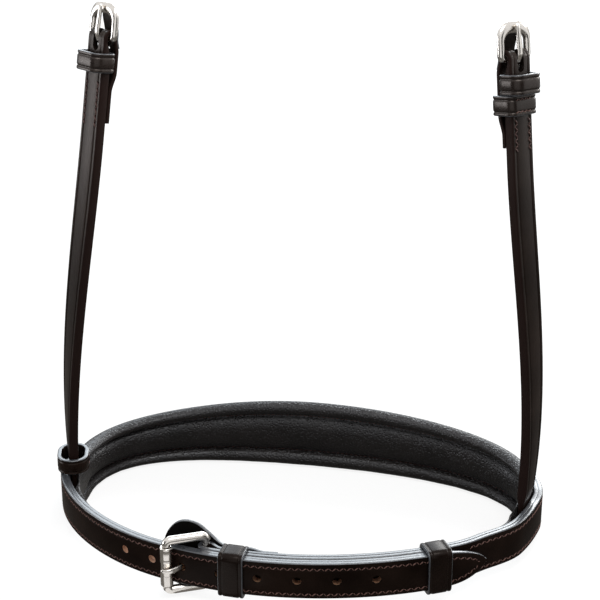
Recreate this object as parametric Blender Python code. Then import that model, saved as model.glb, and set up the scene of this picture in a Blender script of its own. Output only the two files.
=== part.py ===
"""Bridle noseband with a padded nosepiece, a roller buckle at the chin and two sewn hangers.

Metres, +Z up. The chin strap faces -Y, the nosepiece lies at +Y, and the band stands on its lower edge.
A distance written as inward is measured from the band's outer face towards the horse.
A place along the band is the arc length from the middle of the chin arc, positive to the right.
"""
import math

import bmesh
import bpy
import numpy as np
from mathutils import Matrix, Vector

MM = 0.001

# Band plan: an arc under the chin, then four Bezier quarters round the nose
CHIN_LEFT_RADIUS = 173.0 * MM
CHIN_RIGHT_RADIUS = 194.0 * MM
CHIN_ARC_LEFT_DEG = 19.5
CHIN_ARC_RIGHT_DEG = 30.0
RIGHT_REACH = 136.5 * MM
RIGHT_SIDE_BACK = 98.0 * MM
LEFT_REACH = 128.0 * MM
LEFT_SIDE_BACK = 95.5 * MM
LOOP_DEPTH = 163.0 * MM
NOSE_LEFT_OF_CHIN = 12.5 * MM
HANDLE_SHARES = {
    "right_front": (0.36, 0.26),
    "right_back": (0.35, 0.355),
    "left_back": (0.40, 0.455),
    "left_front": (0.355, 0.335),
}

# Leather
LEATHER = 2.2 * MM
GAP = 0.3 * MM
STRAP_WIDTH = 20.0 * MM
STRAP_LOW = 7.5 * MM
EDGE_BEVEL = 0.5 * MM
STATION_PITCH = 6.0 * MM

# Nosepiece, whose lower edge stands on z = 0
NOSE_END_HEIGHT = 27.5 * MM
NOSE_MID_HEIGHT = 40.8 * MM
NOSE_CROWN_LEFT_REACH = 150.0 * MM
NOSE_CROWN_RIGHT_REACH = 210.0 * MM
NOSE_LEATHER_BELOW_ROLL = 5.6 * MM
NOSE_LEATHER_LOW = 3.0 * MM
NOSE_WIDEN_FROM = 168.0 * MM
NOSE_WIDEN_LENGTH = 34.0 * MM
PAD_DEPTH = 7.6 * MM
PAD_LEFT_TIP = -116.0 * MM
PAD_RIGHT_TIP = 128.0 * MM
PAD_TIP_DEPTH = 1.0 * MM
PAD_TIP_INSET = 2.0 * MM
PAD_TAPER_LENGTH = 62.0 * MM
PAD_PITCH = 8.6 * MM
# Height share and depth share of the pad's inner face, from the lower roll to the upper roll
PAD_PROFILE_SHARES = (
    (0.00, 0.34), (0.025, 0.74), (0.075, 0.98), (0.13, 1.00), (0.19, 0.82), (0.235, 0.46),
    (0.29, 0.66), (0.38, 0.84), (0.50, 0.91), (0.62, 0.86), (0.715, 0.71), (0.785, 0.48),
    (0.83, 0.82), (0.885, 0.98), (0.945, 0.92), (0.985, 0.66), (1.00, 0.32),
)

# Free end of the chin strap, with its punched holes
BILLET_TIP = 118.0 * MM
BILLET_POINT_LENGTH = 28.0 * MM
BILLET_TIP_HEIGHT = 2.4 * MM
HOLE_DIAMETER = 4.6 * MM
HOLE_PITCH = 20.0 * MM
HOLE_PITCH_BEFORE_TONGUE = 17.4 * MM
HOLES_BEFORE_TONGUE = 2
HOLES_AFTER_TONGUE = 5
STRAP_MERGE_LENGTH = 31.0 * MM

# Chin buckle
HEEL_PLACE = -32.0 * MM
ROLLER_PLACE = -48.6 * MM
TONGUE_HOLE_PLACE = -42.0 * MM
HEEL_BAR_RADIUS = 1.8 * MM
ROLLER_BAR_RADIUS = 1.8 * MM
ROLLER_RADIUS = 3.2 * MM
ROLLER_WAIST_RADIUS = 2.95 * MM
ROLLER_WAIST_LENGTH = 5.0 * MM
ROLLER_LENGTH = 22.0 * MM
ROLLER_CLEARANCE = 0.25 * MM
CHIN_LEG_RADIUS = 2.3 * MM
CHIN_BUCKLE_INNER_WIDTH = 24.0 * MM
CHIN_CORNER_RADIUS = 2.6 * MM
CHIN_BUCKLE_RISE = 1.1 * MM
CHIN_TONGUE_WIDTH = 3.0 * MM
CHIN_TONGUE_THICKNESS = 2.0 * MM
CHIN_TONGUE_OVERHANG = 3.6 * MM
CHIN_TONGUE_DIP = 1.9 * MM
TONGUE_CLEARANCE = 0.35 * MM
SLOT_CLEARANCE = 0.5 * MM
SLOT_LENGTH = 7.0 * MM
HANGER_SLOT_BELOW = 6.4 * MM
HANGER_SLOT_ABOVE = 8.0 * MM
RETURN_END = 12.0 * MM
RETURN_EASE = 9.0 * MM

# Keepers on the chin strap
KEEPER_WALL = 2.0 * MM
KEEPER_CLEARANCE = 0.4 * MM
KEEPER_CORNER = 1.6 * MM
FIXED_KEEPER_PLACE = -15.4 * MM
FIXED_KEEPER_WIDTH = 12.9 * MM
RUNNER_PLACE = 90.4 * MM
RUNNER_WIDTH = 12.6 * MM

# Guard behind the chin buckle
GUARD_THICKNESS = 2.0 * MM
GUARD_LEFT_END = -56.5 * MM
GUARD_RIGHT_END = 7.0 * MM
GUARD_BULB_LENGTH = 10.5 * MM
GUARD_BULB_HALF_HEIGHT = 19.0 * MM
GUARD_NECK_LENGTH = 24.0 * MM
GUARD_NECK_HALF_HEIGHT = 9.3 * MM
GUARD_END_INWARD = 6.4 * MM

# Hangers
HANGER_WIDTH = 13.5 * MM
HANGER_THICKNESS = 5.0 * MM
HANGER_SKIVED = 2.2 * MM
HANGER_ROOT_INWARD = 7.2 * MM
HANGER_TAIL_DEPTH = 15.0 * MM
HANGER_TAIL_THICKNESS = 2.8 * MM
HANGER_STRAIGHT = 46.0 * MM
HANGER_RETURN = 42.0 * MM
HANGER_PITCH = 7.0 * MM
LEFT_HANGER_PLACE = -160.5 * MM
LEFT_HEEL_HEIGHT = 269.0 * MM
LEFT_LEAN = 27.7 * MM
LEFT_FORWARD = 0.0 * MM
LEFT_TOP_FACING_DEG = -38.0
LEFT_ROOT_FACING_DEG = -72.0
LEFT_BOW = 1.8 * MM
LEFT_TOP_TILT_DEG = 5.2
LEFT_TOP_BACK_DEG = 9.0
RIGHT_HANGER_PLACE = 168.0 * MM
RIGHT_HEEL_HEIGHT = 268.7 * MM
RIGHT_LEAN = 16.6 * MM
RIGHT_FORWARD = 9.0 * MM
RIGHT_TOP_FACING_DEG = 48.0
RIGHT_ROOT_FACING_DEG = 74.0
RIGHT_BOW = 6.0 * MM
RIGHT_TOP_TILT_DEG = 5.1
RIGHT_TOP_BACK_DEG = 9.0
TWIST_POWER = 2.0
LOWER_HANDLE_SHARE = 0.34
UPPER_HANDLE_SHARE = 0.30

# Hanger buckles
BUCKLE_INNER_WIDTH = 14.0 * MM
BUCKLE_LEG_RADIUS = 1.75 * MM
BUCKLE_BAR_RADIUS = 1.6 * MM
BUCKLE_TOP_HALF_DEPTH = 2.9 * MM
BUCKLE_RISE = 14.6 * MM
BUCKLE_TOP_CORNER = 6.4 * MM
BUCKLE_HEEL_CORNER = 1.9 * MM
TAB_THICKNESS = 1.4 * MM
TAB_WIDTH = 10.2 * MM
TAB_TIP_WIDTH = 7.0 * MM
TAB_CLEARANCE = 0.4 * MM
TAB_FOOT = 5.0 * MM
TAB_RISE = 15.2 * MM
TONGUE_WIDTH = 3.2 * MM
TONGUE_THICKNESS = 2.0 * MM
TONGUE_OVERHANG = 0.9 * MM
TONGUE_SWELL = 1.0 * MM
HANGER_KEEPER_WALL = 2.0 * MM
HANGER_KEEPER_HEIGHT = 9.6 * MM
HANGER_KEEPER_DROP = 11.8 * MM
HANGER_KEEPER_SPACE = 4.6 * MM
HANGER_KEEPER_CORNER = 5.0 * MM
LOWER_LOOP_HEIGHT = 9.6 * MM
LOOP_CLEARANCE = 0.35 * MM

# Slip loop round the foot of the left hanger
SLIP_LOOP_LENGTH = 22.5 * MM
SLIP_LOOP_DEPTH = 17.0 * MM
SLIP_LOOP_RISE = 0.8 * MM
SLIP_LOOP_HEIGHT = 8.6 * MM
SLIP_LOOP_CORNER = 7.6 * MM
SLIP_LOOP_WALL = 2.2 * MM
SLIP_LOOP_END_WIDTH = 2.2 * MM
SLIP_LOOP_END_DROP = 12.0 * MM

# Sampling
PLAN_SAMPLES = 400
ARC_STEPS = 4
WIRE_SIDES = 8
HOLE_SIDES = 12
SHARP_ANGLE_DEG = 35.0
CUTTER_OVERRUN = 2.0 * MM

STRAP_HIGH = STRAP_LOW + STRAP_WIDTH
STRAP_MIDDLE = STRAP_LOW + STRAP_WIDTH / 2
DOUBLE_LEATHER = 2 * LEATHER + GAP
FIXED_INWARD = DOUBLE_LEATHER + GAP
HEEL_INWARD = FIXED_INWARD + LEATHER + GAP + HEEL_BAR_RADIUS
TURN_RADIUS = HEEL_BAR_RADIUS + GAP + LEATHER

COLOURS = {
    "strap_leather": ((0.020, 0.014, 0.012), 0.38, 0.0),
    "lining_leather": ((0.030, 0.022, 0.018), 0.55, 0.0),
    "padding_leather": ((0.045, 0.040, 0.038), 0.60, 0.0),
    "buckle_steel": ((0.72, 0.69, 0.66), 0.22, 1.0),
}


def clear_scene():
    for item in list(bpy.data.objects):
        bpy.data.objects.remove(item, do_unlink=True)


def make_materials():
    made = {}
    for name, (colour, roughness, metallic) in COLOURS.items():
        material = bpy.data.materials.new(name)
        material.use_nodes = True
        shader = material.node_tree.nodes["Principled BSDF"]
        shader.inputs["Base Color"].default_value = (*colour, 1.0)
        shader.inputs["Roughness"].default_value = roughness
        shader.inputs["Metallic"].default_value = metallic
        made[name] = material
    return made


def smoothstep(value, start, end):
    share = min(max((value - start) / (end - start), 0.0), 1.0)
    return share * share * (3 - 2 * share)


def spread(start, end, pitch):
    count = max(2, math.ceil(abs(end - start) / pitch) + 1)
    return [float(value) for value in np.linspace(start, end, count)]


def direction(azimuth):
    """Horizontal unit vector, turned from -Y towards +X."""
    return Vector((math.sin(azimuth), -math.cos(azimuth), 0.0))


def bezier(start, start_handle, end_handle, end, count):
    share = np.linspace(0.0, 1.0, count, endpoint=False)[:, None]
    rest = 1 - share
    return (rest ** 3 * start + 3 * rest ** 2 * share * start_handle
            + 3 * rest * share ** 2 * end_handle + share ** 3 * end)


def quarter(start, start_way, end, end_way, shares):
    reach = np.linalg.norm(end - start)
    return bezier(start, start + start_way * reach * shares[0],
                  end - end_way * reach * shares[1], end, PLAN_SAMPLES)


def plan_points():
    """Outer face of the band seen from above, once round, from the middle of the chin arc to the right."""
    left = math.radians(CHIN_ARC_LEFT_DEG)
    right = math.radians(CHIN_ARC_RIGHT_DEG)

    def on_arc(angle):
        radius = CHIN_RIGHT_RADIUS if angle > 0 else CHIN_LEFT_RADIUS
        return radius * np.array([math.sin(angle), 1 - math.cos(angle)])

    def way(angle):
        return np.array([math.cos(angle), math.sin(angle)])

    right_arc = np.array([on_arc(angle) for angle in np.linspace(0, right, PLAN_SAMPLES, endpoint=False)])
    left_arc = np.array([on_arc(angle) for angle in np.linspace(-left, 0, PLAN_SAMPLES, endpoint=False)])
    back = np.array([0.0, 1.0])
    side = np.array([1.0, 0.0])
    right_side = np.array([RIGHT_REACH, RIGHT_SIDE_BACK])
    nose = np.array([-NOSE_LEFT_OF_CHIN, LOOP_DEPTH])
    left_side = np.array([-LEFT_REACH, LEFT_SIDE_BACK])
    return np.concatenate([
        right_arc,
        quarter(on_arc(right), way(right), right_side, back, HANDLE_SHARES["right_front"]),
        quarter(right_side, back, nose, -side, HANDLE_SHARES["right_back"]),
        quarter(nose, -side, left_side, -back, HANDLE_SHARES["left_back"]),
        quarter(left_side, -back, on_arc(-left), way(-left), HANDLE_SHARES["left_front"]),
        left_arc,
    ])


PLAN = plan_points()
PLAN_CLOSED = np.concatenate([PLAN, PLAN[:1]])
PLAN_LENGTHS = np.concatenate([[0.0], np.cumsum(np.linalg.norm(np.diff(PLAN_CLOSED, axis=0), axis=1))])
PERIMETER = float(PLAN_LENGTHS[-1])
PLAN_CENTRE = (PLAN.min(axis=0) + PLAN.max(axis=0)) / 2


def plan_xy(place):
    place = place % PERIMETER
    return np.array([np.interp(place, PLAN_LENGTHS, PLAN_CLOSED[:, axis]) - PLAN_CENTRE[axis]
                     for axis in (0, 1)])


def plan_frame(place):
    """Point on the band's outer face, the way along the band, and the way out of it."""
    reach = PERIMETER / PLAN_SAMPLES / 2
    along = plan_xy(place + reach) - plan_xy(place - reach)
    along = along / np.linalg.norm(along)
    return plan_xy(place), along, np.array([along[1], -along[0]])


def spot(place, inward, height):
    point, _, out = plan_frame(place)
    flat = point - out * inward
    return Vector((flat[0], flat[1], height))


def skin(name, rings, material=None, closed=False):
    """One solid through rings of points, all with the same count, capped at both ends or closed on itself.

    Without a material it is a cutter: flat-shaded, hidden and drawn as wire.
    """
    mesh = bpy.data.meshes.new(name)
    form = bmesh.new()
    loops = [[form.verts.new(point) for point in ring] for ring in rings]
    sides = len(loops[0])
    pairs = list(zip(loops, loops[1:] + loops[:1])) if closed else list(zip(loops, loops[1:]))
    for near, far in pairs:
        for index in range(sides):
            after = (index + 1) % sides
            form.faces.new((near[index], near[after], far[after], far[index]))
    if not closed:
        form.faces.new(loops[0])
        form.faces.new(loops[-1])
    bmesh.ops.recalc_face_normals(form, faces=form.faces)
    form.to_mesh(mesh)
    form.free()
    item = bpy.data.objects.new(name, mesh)
    bpy.context.scene.collection.objects.link(item)
    if material is None:
        item.hide_render = True
        item.display_type = "WIRE"
    else:
        mesh.materials.append(material)
        mesh.shade_smooth()
        mesh.set_sharp_from_angle(angle=math.radians(SHARP_ANGLE_DEG))
    return item


def set_origin(item, point):
    """Moves an object's origin to a joint axis without moving its mesh in the world."""
    item.data.transform(Matrix.Translation(-point))
    item.location = point


def bevelled_rectangle(depth, low, high, bevel):
    """Depth and height pairs round a leather section, from the grain face."""
    bevel = min(bevel, depth / 3, (high - low) / 3)
    return [(bevel, low), (0.0, low + bevel), (0.0, high - bevel), (bevel, high),
            (depth - bevel, high), (depth, high - bevel), (depth, low + bevel), (depth - bevel, low)]


def leather_ring(grain, flesh_way, depth, low, high):
    """Section of an upright strap: grain is a point on its outer face, flesh_way points through it."""
    return [Vector((grain[0] + flesh_way[0] * inside, grain[1] + flesh_way[1] * inside, height))
            for inside, height in bevelled_rectangle(depth, low, high, EDGE_BEVEL)]


def nose_share(place):
    """0 on the chin strap, 1 on the full nosepiece."""
    from_front = min(place % PERIMETER, PERIMETER - place % PERIMETER)
    return smoothstep(from_front, NOSE_WIDEN_FROM, NOSE_WIDEN_FROM + NOSE_WIDEN_LENGTH)


def nose_height(place):
    """Height of the padded nosepiece, highest in its middle."""
    from_nose = place % PERIMETER - PERIMETER / 2
    reach = NOSE_CROWN_LEFT_REACH if from_nose > 0 else NOSE_CROWN_RIGHT_REACH
    crown = math.cos(math.pi / 2 * min(1.0, abs(from_nose) / reach)) ** 2
    return NOSE_END_HEIGHT + (NOSE_MID_HEIGHT - NOSE_END_HEIGHT) * crown


def band_heights(place):
    share = nose_share(place)
    low = STRAP_LOW + (NOSE_LEATHER_LOW - STRAP_LOW) * share
    high = STRAP_HIGH + (nose_height(place) - NOSE_LEATHER_BELOW_ROLL - STRAP_HIGH) * share
    return low, high


def billet_heights(place):
    """Heights of the free strap, drawn in to its rounded point."""
    start = BILLET_TIP - BILLET_POINT_LENGTH
    share = min(max((place - start) / BILLET_POINT_LENGTH, 0.0), 1.0)
    half = STRAP_WIDTH / 2 * (1 - share ** 2.2) ** 0.62
    half = max(half, BILLET_TIP_HEIGHT / 2)
    return STRAP_MIDDLE - half, STRAP_MIDDLE + half


def billet_stations(end):
    """Places along the free strap, closer together round its point."""
    start = BILLET_TIP - BILLET_POINT_LENGTH
    point = [start + BILLET_POINT_LENGTH * math.sin(math.pi / 2 * step / 8) for step in range(8, 0, -1)]
    return point + spread(start, end, STATION_PITCH)


def fixed_inward(place):
    """Inward place of the fixed strap's outer face: under the free strap, then out to the band's face."""
    return FIXED_INWARD * (1 - smoothstep(place, BILLET_TIP + EDGE_BEVEL, BILLET_TIP + STRAP_MERGE_LENGTH))


def return_inward(place):
    """Inward place of the grain face of the leather turned back behind the heel bar."""
    tight = FIXED_INWARD + DOUBLE_LEATHER
    open_share = 1 - smoothstep(place, HEEL_PLACE, HEEL_PLACE + RETURN_EASE)
    return tight + (HEEL_INWARD + TURN_RADIUS - tight) * open_share


def band_rings():
    """The outer leather in one piece, from its point round the nose to the turn at the buckle."""
    rings = []
    merge_end = BILLET_TIP + STRAP_MERGE_LENGTH - PERIMETER
    for place in billet_stations(BILLET_TIP - BILLET_POINT_LENGTH - STATION_PITCH):
        point, _, out = plan_frame(place)
        rings.append(leather_ring(point, -out, LEATHER, *billet_heights(place)))
    start = BILLET_TIP - BILLET_POINT_LENGTH - 2 * STATION_PITCH
    for place in spread(start, merge_end, STATION_PITCH):
        point, _, out = plan_frame(place)
        rings.append(leather_ring(point, -out, LEATHER, *band_heights(place)))
    for place in spread(BILLET_TIP + STRAP_MERGE_LENGTH, HEEL_PLACE, STATION_PITCH)[1:]:
        point, _, out = plan_frame(place)
        rings.append(leather_ring(point - out * fixed_inward(place), -out, LEATHER, STRAP_LOW, STRAP_HIGH))
    point, along, out = plan_frame(HEEL_PLACE)
    centre = point - out * HEEL_INWARD
    for step in range(1, 2 * ARC_STEPS):
        turn = math.pi * step / (2 * ARC_STEPS)
        away = out * math.cos(turn) - along * math.sin(turn)
        rings.append(leather_ring(centre + away * TURN_RADIUS, -away, LEATHER, STRAP_LOW, STRAP_HIGH))
    for place in spread(HEEL_PLACE, RETURN_END, STATION_PITCH / 2):
        point, _, out = plan_frame(place)
        rings.append(leather_ring(point - out * return_inward(place), out, LEATHER, STRAP_LOW, STRAP_HIGH))
    return rings


def band_layer(name, stations, inward_at, heights_at, material, depth=LEATHER):
    rings = []
    for place in stations:
        point, _, out = plan_frame(place)
        rings.append(leather_ring(point - out * inward_at(place), -out, depth, *heights_at(place)))
    return skin(name, rings, material)


def box_cutter(name, centre, along, out, size):
    """Box with its sides along the band, across it and upright; hidden, used only to cut."""
    half_along, half_out, half_up = (value / 2 for value in size)
    rings = []
    for sign in (-1, 1):
        base = Vector((centre[0], centre[1], centre[2] + sign * half_up))
        ring = [base + Vector((*(along * a * half_along + out * b * half_out), 0.0))
                for a, b in ((-1, -1), (1, -1), (1, 1), (-1, 1))]
        rings.append(ring)
    return skin(name, rings)


def cylinder_between(name, start, end, radius):
    way = (end - start).normalized()
    side = way.cross(Vector((0.0, 0.0, 1.0))).normalized()
    up = side.cross(way)
    rings = [[point + (side * math.cos(angle) + up * math.sin(angle)) * radius
              for angle in [2 * math.pi * step / HOLE_SIDES for step in range(HOLE_SIDES)]]
             for point in (start, end)]
    return skin(name, rings)


def cut(item, cutter):
    modifier = item.modifiers.new(cutter.name, "BOOLEAN")
    modifier.operation = "DIFFERENCE"
    modifier.object = cutter
    modifier.solver = "EXACT"


def punch_holes(items):
    """Punches the row of holes through both leathers of the free strap."""
    for index in range(-HOLES_BEFORE_TONGUE, HOLES_AFTER_TONGUE + 1):
        place = TONGUE_HOLE_PLACE + index * (HOLE_PITCH_BEFORE_TONGUE if index < 0 else HOLE_PITCH)
        start = spot(place, -CUTTER_OVERRUN, STRAP_MIDDLE)
        end = spot(place, DOUBLE_LEATHER + GAP / 2, STRAP_MIDDLE)
        name = f"hole_cutter_{index + HOLES_BEFORE_TONGUE + 1}"
        cutter = cylinder_between(name, start, end, HOLE_DIAMETER / 2)
        for item in items:
            cut(item, cutter)


def rounded_rectangle(width, height, radii, steps=ARC_STEPS):
    """Corner arcs of a rectangle about its centre, anticlockwise from the lower right corner."""
    points = []
    corners = ((1, -1, -90), (1, 1, 0), (-1, 1, 90), (-1, -1, 180))
    for (x_sign, y_sign, start), radius in zip(corners, radii):
        centre_x = x_sign * (width / 2 - radius)
        centre_y = y_sign * (height / 2 - radius)
        for step in range(steps + 1):
            angle = math.radians(start + 90 * step / steps)
            points.append((centre_x + radius * math.cos(angle), centre_y + radius * math.sin(angle)))
    return points


def loop_ring(name, centre, across, through, up, size, wall, height, corners, material):
    """A flat leather loop: size is its outer width along across and its outer depth along through."""
    edge = EDGE_BEVEL
    half = height / 2
    levels = ((-half + edge, 0.0), (half - edge, 0.0), (half, edge), (half, wall - edge),
              (half - edge, wall), (-half + edge, wall), (-half, wall - edge), (-half, edge))
    rings = []
    outlines = {}
    for inset in sorted({level[1] for level in levels}):
        radii = [max(corner - inset, edge) for corner in corners]
        outlines[inset] = rounded_rectangle(size[0] - 2 * inset, size[1] - 2 * inset, radii)
    for index in range(len(next(iter(outlines.values())))):
        ring = []
        for rise, inset in levels:
            a, b = outlines[inset][index]
            ring.append(centre + across * a + through * b + up * rise)
        rings.append(ring)
    return skin(name, rings, material, closed=True)


def wire(name, points, plane_normal, halves, material, closed=True, sides=WIRE_SIDES):
    """Sweeps an ellipse along planar points; halves gives its in-plane and other half size at each."""
    rings = []
    count = len(points)
    for index, point in enumerate(points):
        before = points[(index - 1) % count] if closed or index > 0 else point
        after = points[(index + 1) % count] if closed or index < count - 1 else point
        along = (after - before).normalized()
        side = plane_normal.cross(along).normalized()
        half_in, half_out = halves[index]
        rings.append([point + side * half_in * math.cos(angle) + plane_normal * half_out * math.sin(angle)
                      for angle in [2 * math.pi * (step + 0.5) / sides for step in range(sides)]])
    return skin(name, rings, material, closed=closed)


def chin_axes():
    """Centres of the chin buckle's heel and roller bars, the way between them and out of its face."""
    heel = spot(HEEL_PLACE, HEEL_INWARD, STRAP_MIDDLE + CHIN_BUCKLE_RISE)
    roller = spot(ROLLER_PLACE, -(ROLLER_RADIUS + GAP), STRAP_MIDDLE + CHIN_BUCKLE_RISE)
    reach = (roller - heel).normalized()
    face = reach.cross(Vector((0.0, 0.0, 1.0)))
    _, _, out = plan_frame(HEEL_PLACE)
    if face.x * out[0] + face.y * out[1] < 0:
        face = -face
    return heel, roller, reach, face


def make_chin_buckle(materials):
    heel, roller, reach, face = chin_axes()
    up = Vector((0.0, 0.0, 1.0))
    length = (roller - heel).length
    middle = (heel + roller) / 2
    width = CHIN_BUCKLE_INNER_WIDTH + 2 * CHIN_LEG_RADIUS
    outline = rounded_rectangle(length, width, (CHIN_CORNER_RADIUS,) * 4)
    points = []
    halves = []
    bar_reach = CHIN_BUCKLE_INNER_WIDTH / 2
    for along, height in outline:
        points.append(middle + reach * along + up * height)
        halves.append((CHIN_LEG_RADIUS, CHIN_LEG_RADIUS))
    roller_end = [(length / 2, sign * bar_reach) for sign in (-1, 1)]
    heel_end = [(-length / 2, sign * bar_reach) for sign in (1, -1)]
    steps = ARC_STEPS + 1
    order = []
    order += list(zip(points[:steps], halves[:steps]))
    order += [(middle + reach * a + up * h, (ROLLER_BAR_RADIUS, ROLLER_BAR_RADIUS)) for a, h in roller_end]
    order += list(zip(points[steps:3 * steps], halves[steps:3 * steps]))
    order += [(middle + reach * a + up * h, (HEEL_BAR_RADIUS, HEEL_BAR_RADIUS)) for a, h in heel_end]
    order += list(zip(points[3 * steps:], halves[3 * steps:]))
    wire("chin_buckle_frame", [point for point, _ in order], face, [half for _, half in order],
         materials["buckle_steel"])
    make_roller(roller, materials)
    make_chin_tongue(heel, roller, reach, face, materials)


def make_roller(roller, materials):
    """Sleeve on the outer bar, with a shallow waist where the tongue lies."""
    half = ROLLER_LENGTH / 2
    waist = ROLLER_WAIST_LENGTH / 2
    bore = ROLLER_BAR_RADIUS + ROLLER_CLEARANCE
    profile = [(bore, -half), (ROLLER_RADIUS - GAP, -half), (ROLLER_RADIUS, -half + GAP),
               (ROLLER_RADIUS, -waist), (ROLLER_WAIST_RADIUS, -waist / 2),
               (ROLLER_WAIST_RADIUS, waist / 2), (ROLLER_RADIUS, waist),
               (ROLLER_RADIUS, half - GAP), (ROLLER_RADIUS - GAP, half), (bore, half)]
    sides = 3 * WIRE_SIDES
    rings = [[roller + Vector((radius * math.cos(angle), radius * math.sin(angle), height))
              for radius, height in profile]
             for angle in [2 * math.pi * step / sides for step in range(sides)]]
    sleeve = skin("chin_buckle_roller", rings, materials["buckle_steel"], closed=True)
    set_origin(sleeve, roller)


def make_chin_tongue(heel, roller, reach, face, materials):
    """Tongue hooked round the heel bar, up through the free strap's hole and over the roller."""
    half = CHIN_TONGUE_THICKNESS / 2
    eye = HEEL_BAR_RADIUS + ROLLER_CLEARANCE + half
    length = (roller - heel).length
    rest = ROLLER_WAIST_RADIUS + TONGUE_CLEARANCE + half
    hole = spot(TONGUE_HOLE_PLACE, DOUBLE_LEATHER / 2, heel.z) - heel
    hole_along = hole.dot(reach)
    hole_out = hole.dot(face)
    path = hook_path(eye)
    path += [(hole_along * 0.55, -CHIN_TONGUE_DIP), (hole_along - half * 1.7, hole_out - half * 2.4),
             (hole_along + half, hole_out + half), (length - rest * 0.85, rest * 0.72),
             (length, rest), (length + CHIN_TONGUE_OVERHANG, rest - CHIN_TONGUE_OVERHANG * 0.42)]
    curve = smooth_path(path, 3)
    count = len(curve)
    halves = []
    for index in range(count):
        slim = 1.0 - 0.30 * smoothstep(index, count * 0.8, count - 1)
        halves.append((half * slim, CHIN_TONGUE_WIDTH / 2 * slim))
    eye_centre = Vector((heel.x, heel.y, STRAP_MIDDLE))
    spots = [eye_centre + reach * a + face * b for a, b in curve]
    tongue = wire("chin_buckle_tongue", spots, Vector((0.0, 0.0, 1.0)), halves, materials["buckle_steel"],
                  closed=False)
    set_origin(tongue, eye_centre)


def hook_path(eye):
    """Open eye of a tongue, round the bar at the origin, ending under it on the way out."""
    return [(eye * math.cos(math.radians(angle)), eye * math.sin(math.radians(angle)))
            for angle in (30, 75, 120, 165, 210, 255)]


def smooth_path(points, steps):
    """Catmull-Rom curve through planar points."""
    ends = [points[0]] + list(points) + [points[-1]]
    curve = []
    for index in range(1, len(ends) - 2):
        a, b, c, d = (np.array(ends[index + offset]) for offset in (-1, 0, 1, 2))
        for step in range(steps):
            t = step / steps
            curve.append(0.5 * (2 * b + (c - a) * t + (2 * a - 5 * b + 4 * c - d) * t ** 2
                                + (3 * b - a - 3 * c + d) * t ** 3))
    curve.append(np.array(points[-1]))
    return [(float(x), float(y)) for x, y in curve]


def make_chin_keepers(materials):
    up = Vector((0.0, 0.0, 1.0))
    depth = FIXED_INWARD + DOUBLE_LEATHER
    for name, place, width in (("chin_keeper_fixed", FIXED_KEEPER_PLACE, FIXED_KEEPER_WIDTH),
                               ("chin_keeper_runner", RUNNER_PLACE, RUNNER_WIDTH)):
        _, along, out = plan_frame(place)
        centre = spot(place, depth / 2, STRAP_MIDDLE)
        room = 2 * (KEEPER_CLEARANCE + KEEPER_WALL)
        keeper = loop_ring(name, centre, up, Vector((*out, 0.0)), Vector((*along, 0.0)),
                           (STRAP_WIDTH + room, depth + room), KEEPER_WALL, width,
                           (KEEPER_CORNER + KEEPER_WALL,) * 4, materials["strap_leather"])
        if name == "chin_keeper_runner":
            set_origin(keeper, chin_arc_centre())


def chin_arc_centre():
    """Middle of the right half of the chin arc, which the sliding keeper turns about."""
    return Vector((-PLAN_CENTRE[0], CHIN_RIGHT_RADIUS - PLAN_CENTRE[1], STRAP_MIDDLE))


def guard_inward(place):
    """Outer face of the guard: near the free strap at its round end, then behind turn and keeper."""
    behind_turn = HEEL_INWARD + TURN_RADIUS + GAP
    behind_keeper = FIXED_INWARD + DOUBLE_LEATHER + KEEPER_CLEARANCE + KEEPER_WALL + GAP
    keeper_left = FIXED_KEEPER_PLACE - FIXED_KEEPER_WIDTH / 2
    keeper_right = FIXED_KEEPER_PLACE + FIXED_KEEPER_WIDTH / 2
    rise = smoothstep(place, GUARD_LEFT_END, HEEL_PLACE - TURN_RADIUS)
    at_turn = GUARD_END_INWARD + (behind_turn - GUARD_END_INWARD) * rise
    past_turn = smoothstep(place, HEEL_PLACE, keeper_left)
    past_keeper = smoothstep(place, keeper_right, keeper_right + RETURN_EASE)
    at_keeper = at_turn + (behind_keeper - at_turn) * past_turn
    return at_keeper + (FIXED_INWARD + DOUBLE_LEATHER + GAP - at_keeper) * past_keeper


def guard_heights(place):
    """A round bulb behind the buckle that narrows to a neck under the keeper, its lowest point on z = 0."""
    middle = GUARD_BULB_HALF_HEIGHT
    bulb_centre = GUARD_LEFT_END + GUARD_BULB_LENGTH
    if place < bulb_centre:
        share = (bulb_centre - place) / GUARD_BULB_LENGTH
        half = GUARD_BULB_HALF_HEIGHT * math.sqrt(max(0.0, 1 - share * share))
        half = max(half, GUARD_BULB_HALF_HEIGHT / 6)
    else:
        neck = smoothstep(place, bulb_centre, bulb_centre + GUARD_NECK_LENGTH)
        half = GUARD_BULB_HALF_HEIGHT + (GUARD_NECK_HALF_HEIGHT - GUARD_BULB_HALF_HEIGHT) * neck
        middle += (STRAP_MIDDLE - middle) * neck
    return middle - half, middle + half


def make_guard(materials):
    bulb_centre = GUARD_LEFT_END + GUARD_BULB_LENGTH
    round_end = [bulb_centre - GUARD_BULB_LENGTH * math.cos(math.pi / 2 * step / 8) for step in range(8)]
    stations = round_end + spread(bulb_centre, GUARD_RIGHT_END, STATION_PITCH / 2)
    band_layer("chin_buckle_guard", stations, guard_inward, guard_heights, materials["lining_leather"],
               GUARD_THICKNESS)


def band_inward(place):
    """Inward place of whichever strap lies against the horse at a place on the band."""
    return fixed_inward(place) if place < PERIMETER / 2 else 0.0


def pad_bump(place):
    """Room left between the band and its pad for each hanger's tail."""
    room = 0.0
    for hanger in (LEFT_HANGER_PLACE, RIGHT_HANGER_PLACE):
        distance = abs((place - hanger + PERIMETER / 2) % PERIMETER - PERIMETER / 2)
        reach = max(HANGER_WIDTH, SLIP_LOOP_LENGTH) / 2 + STATION_PITCH / 2
        room = max(room, 1 - smoothstep(distance, reach, reach + 2 * STATION_PITCH))
    return room


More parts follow.
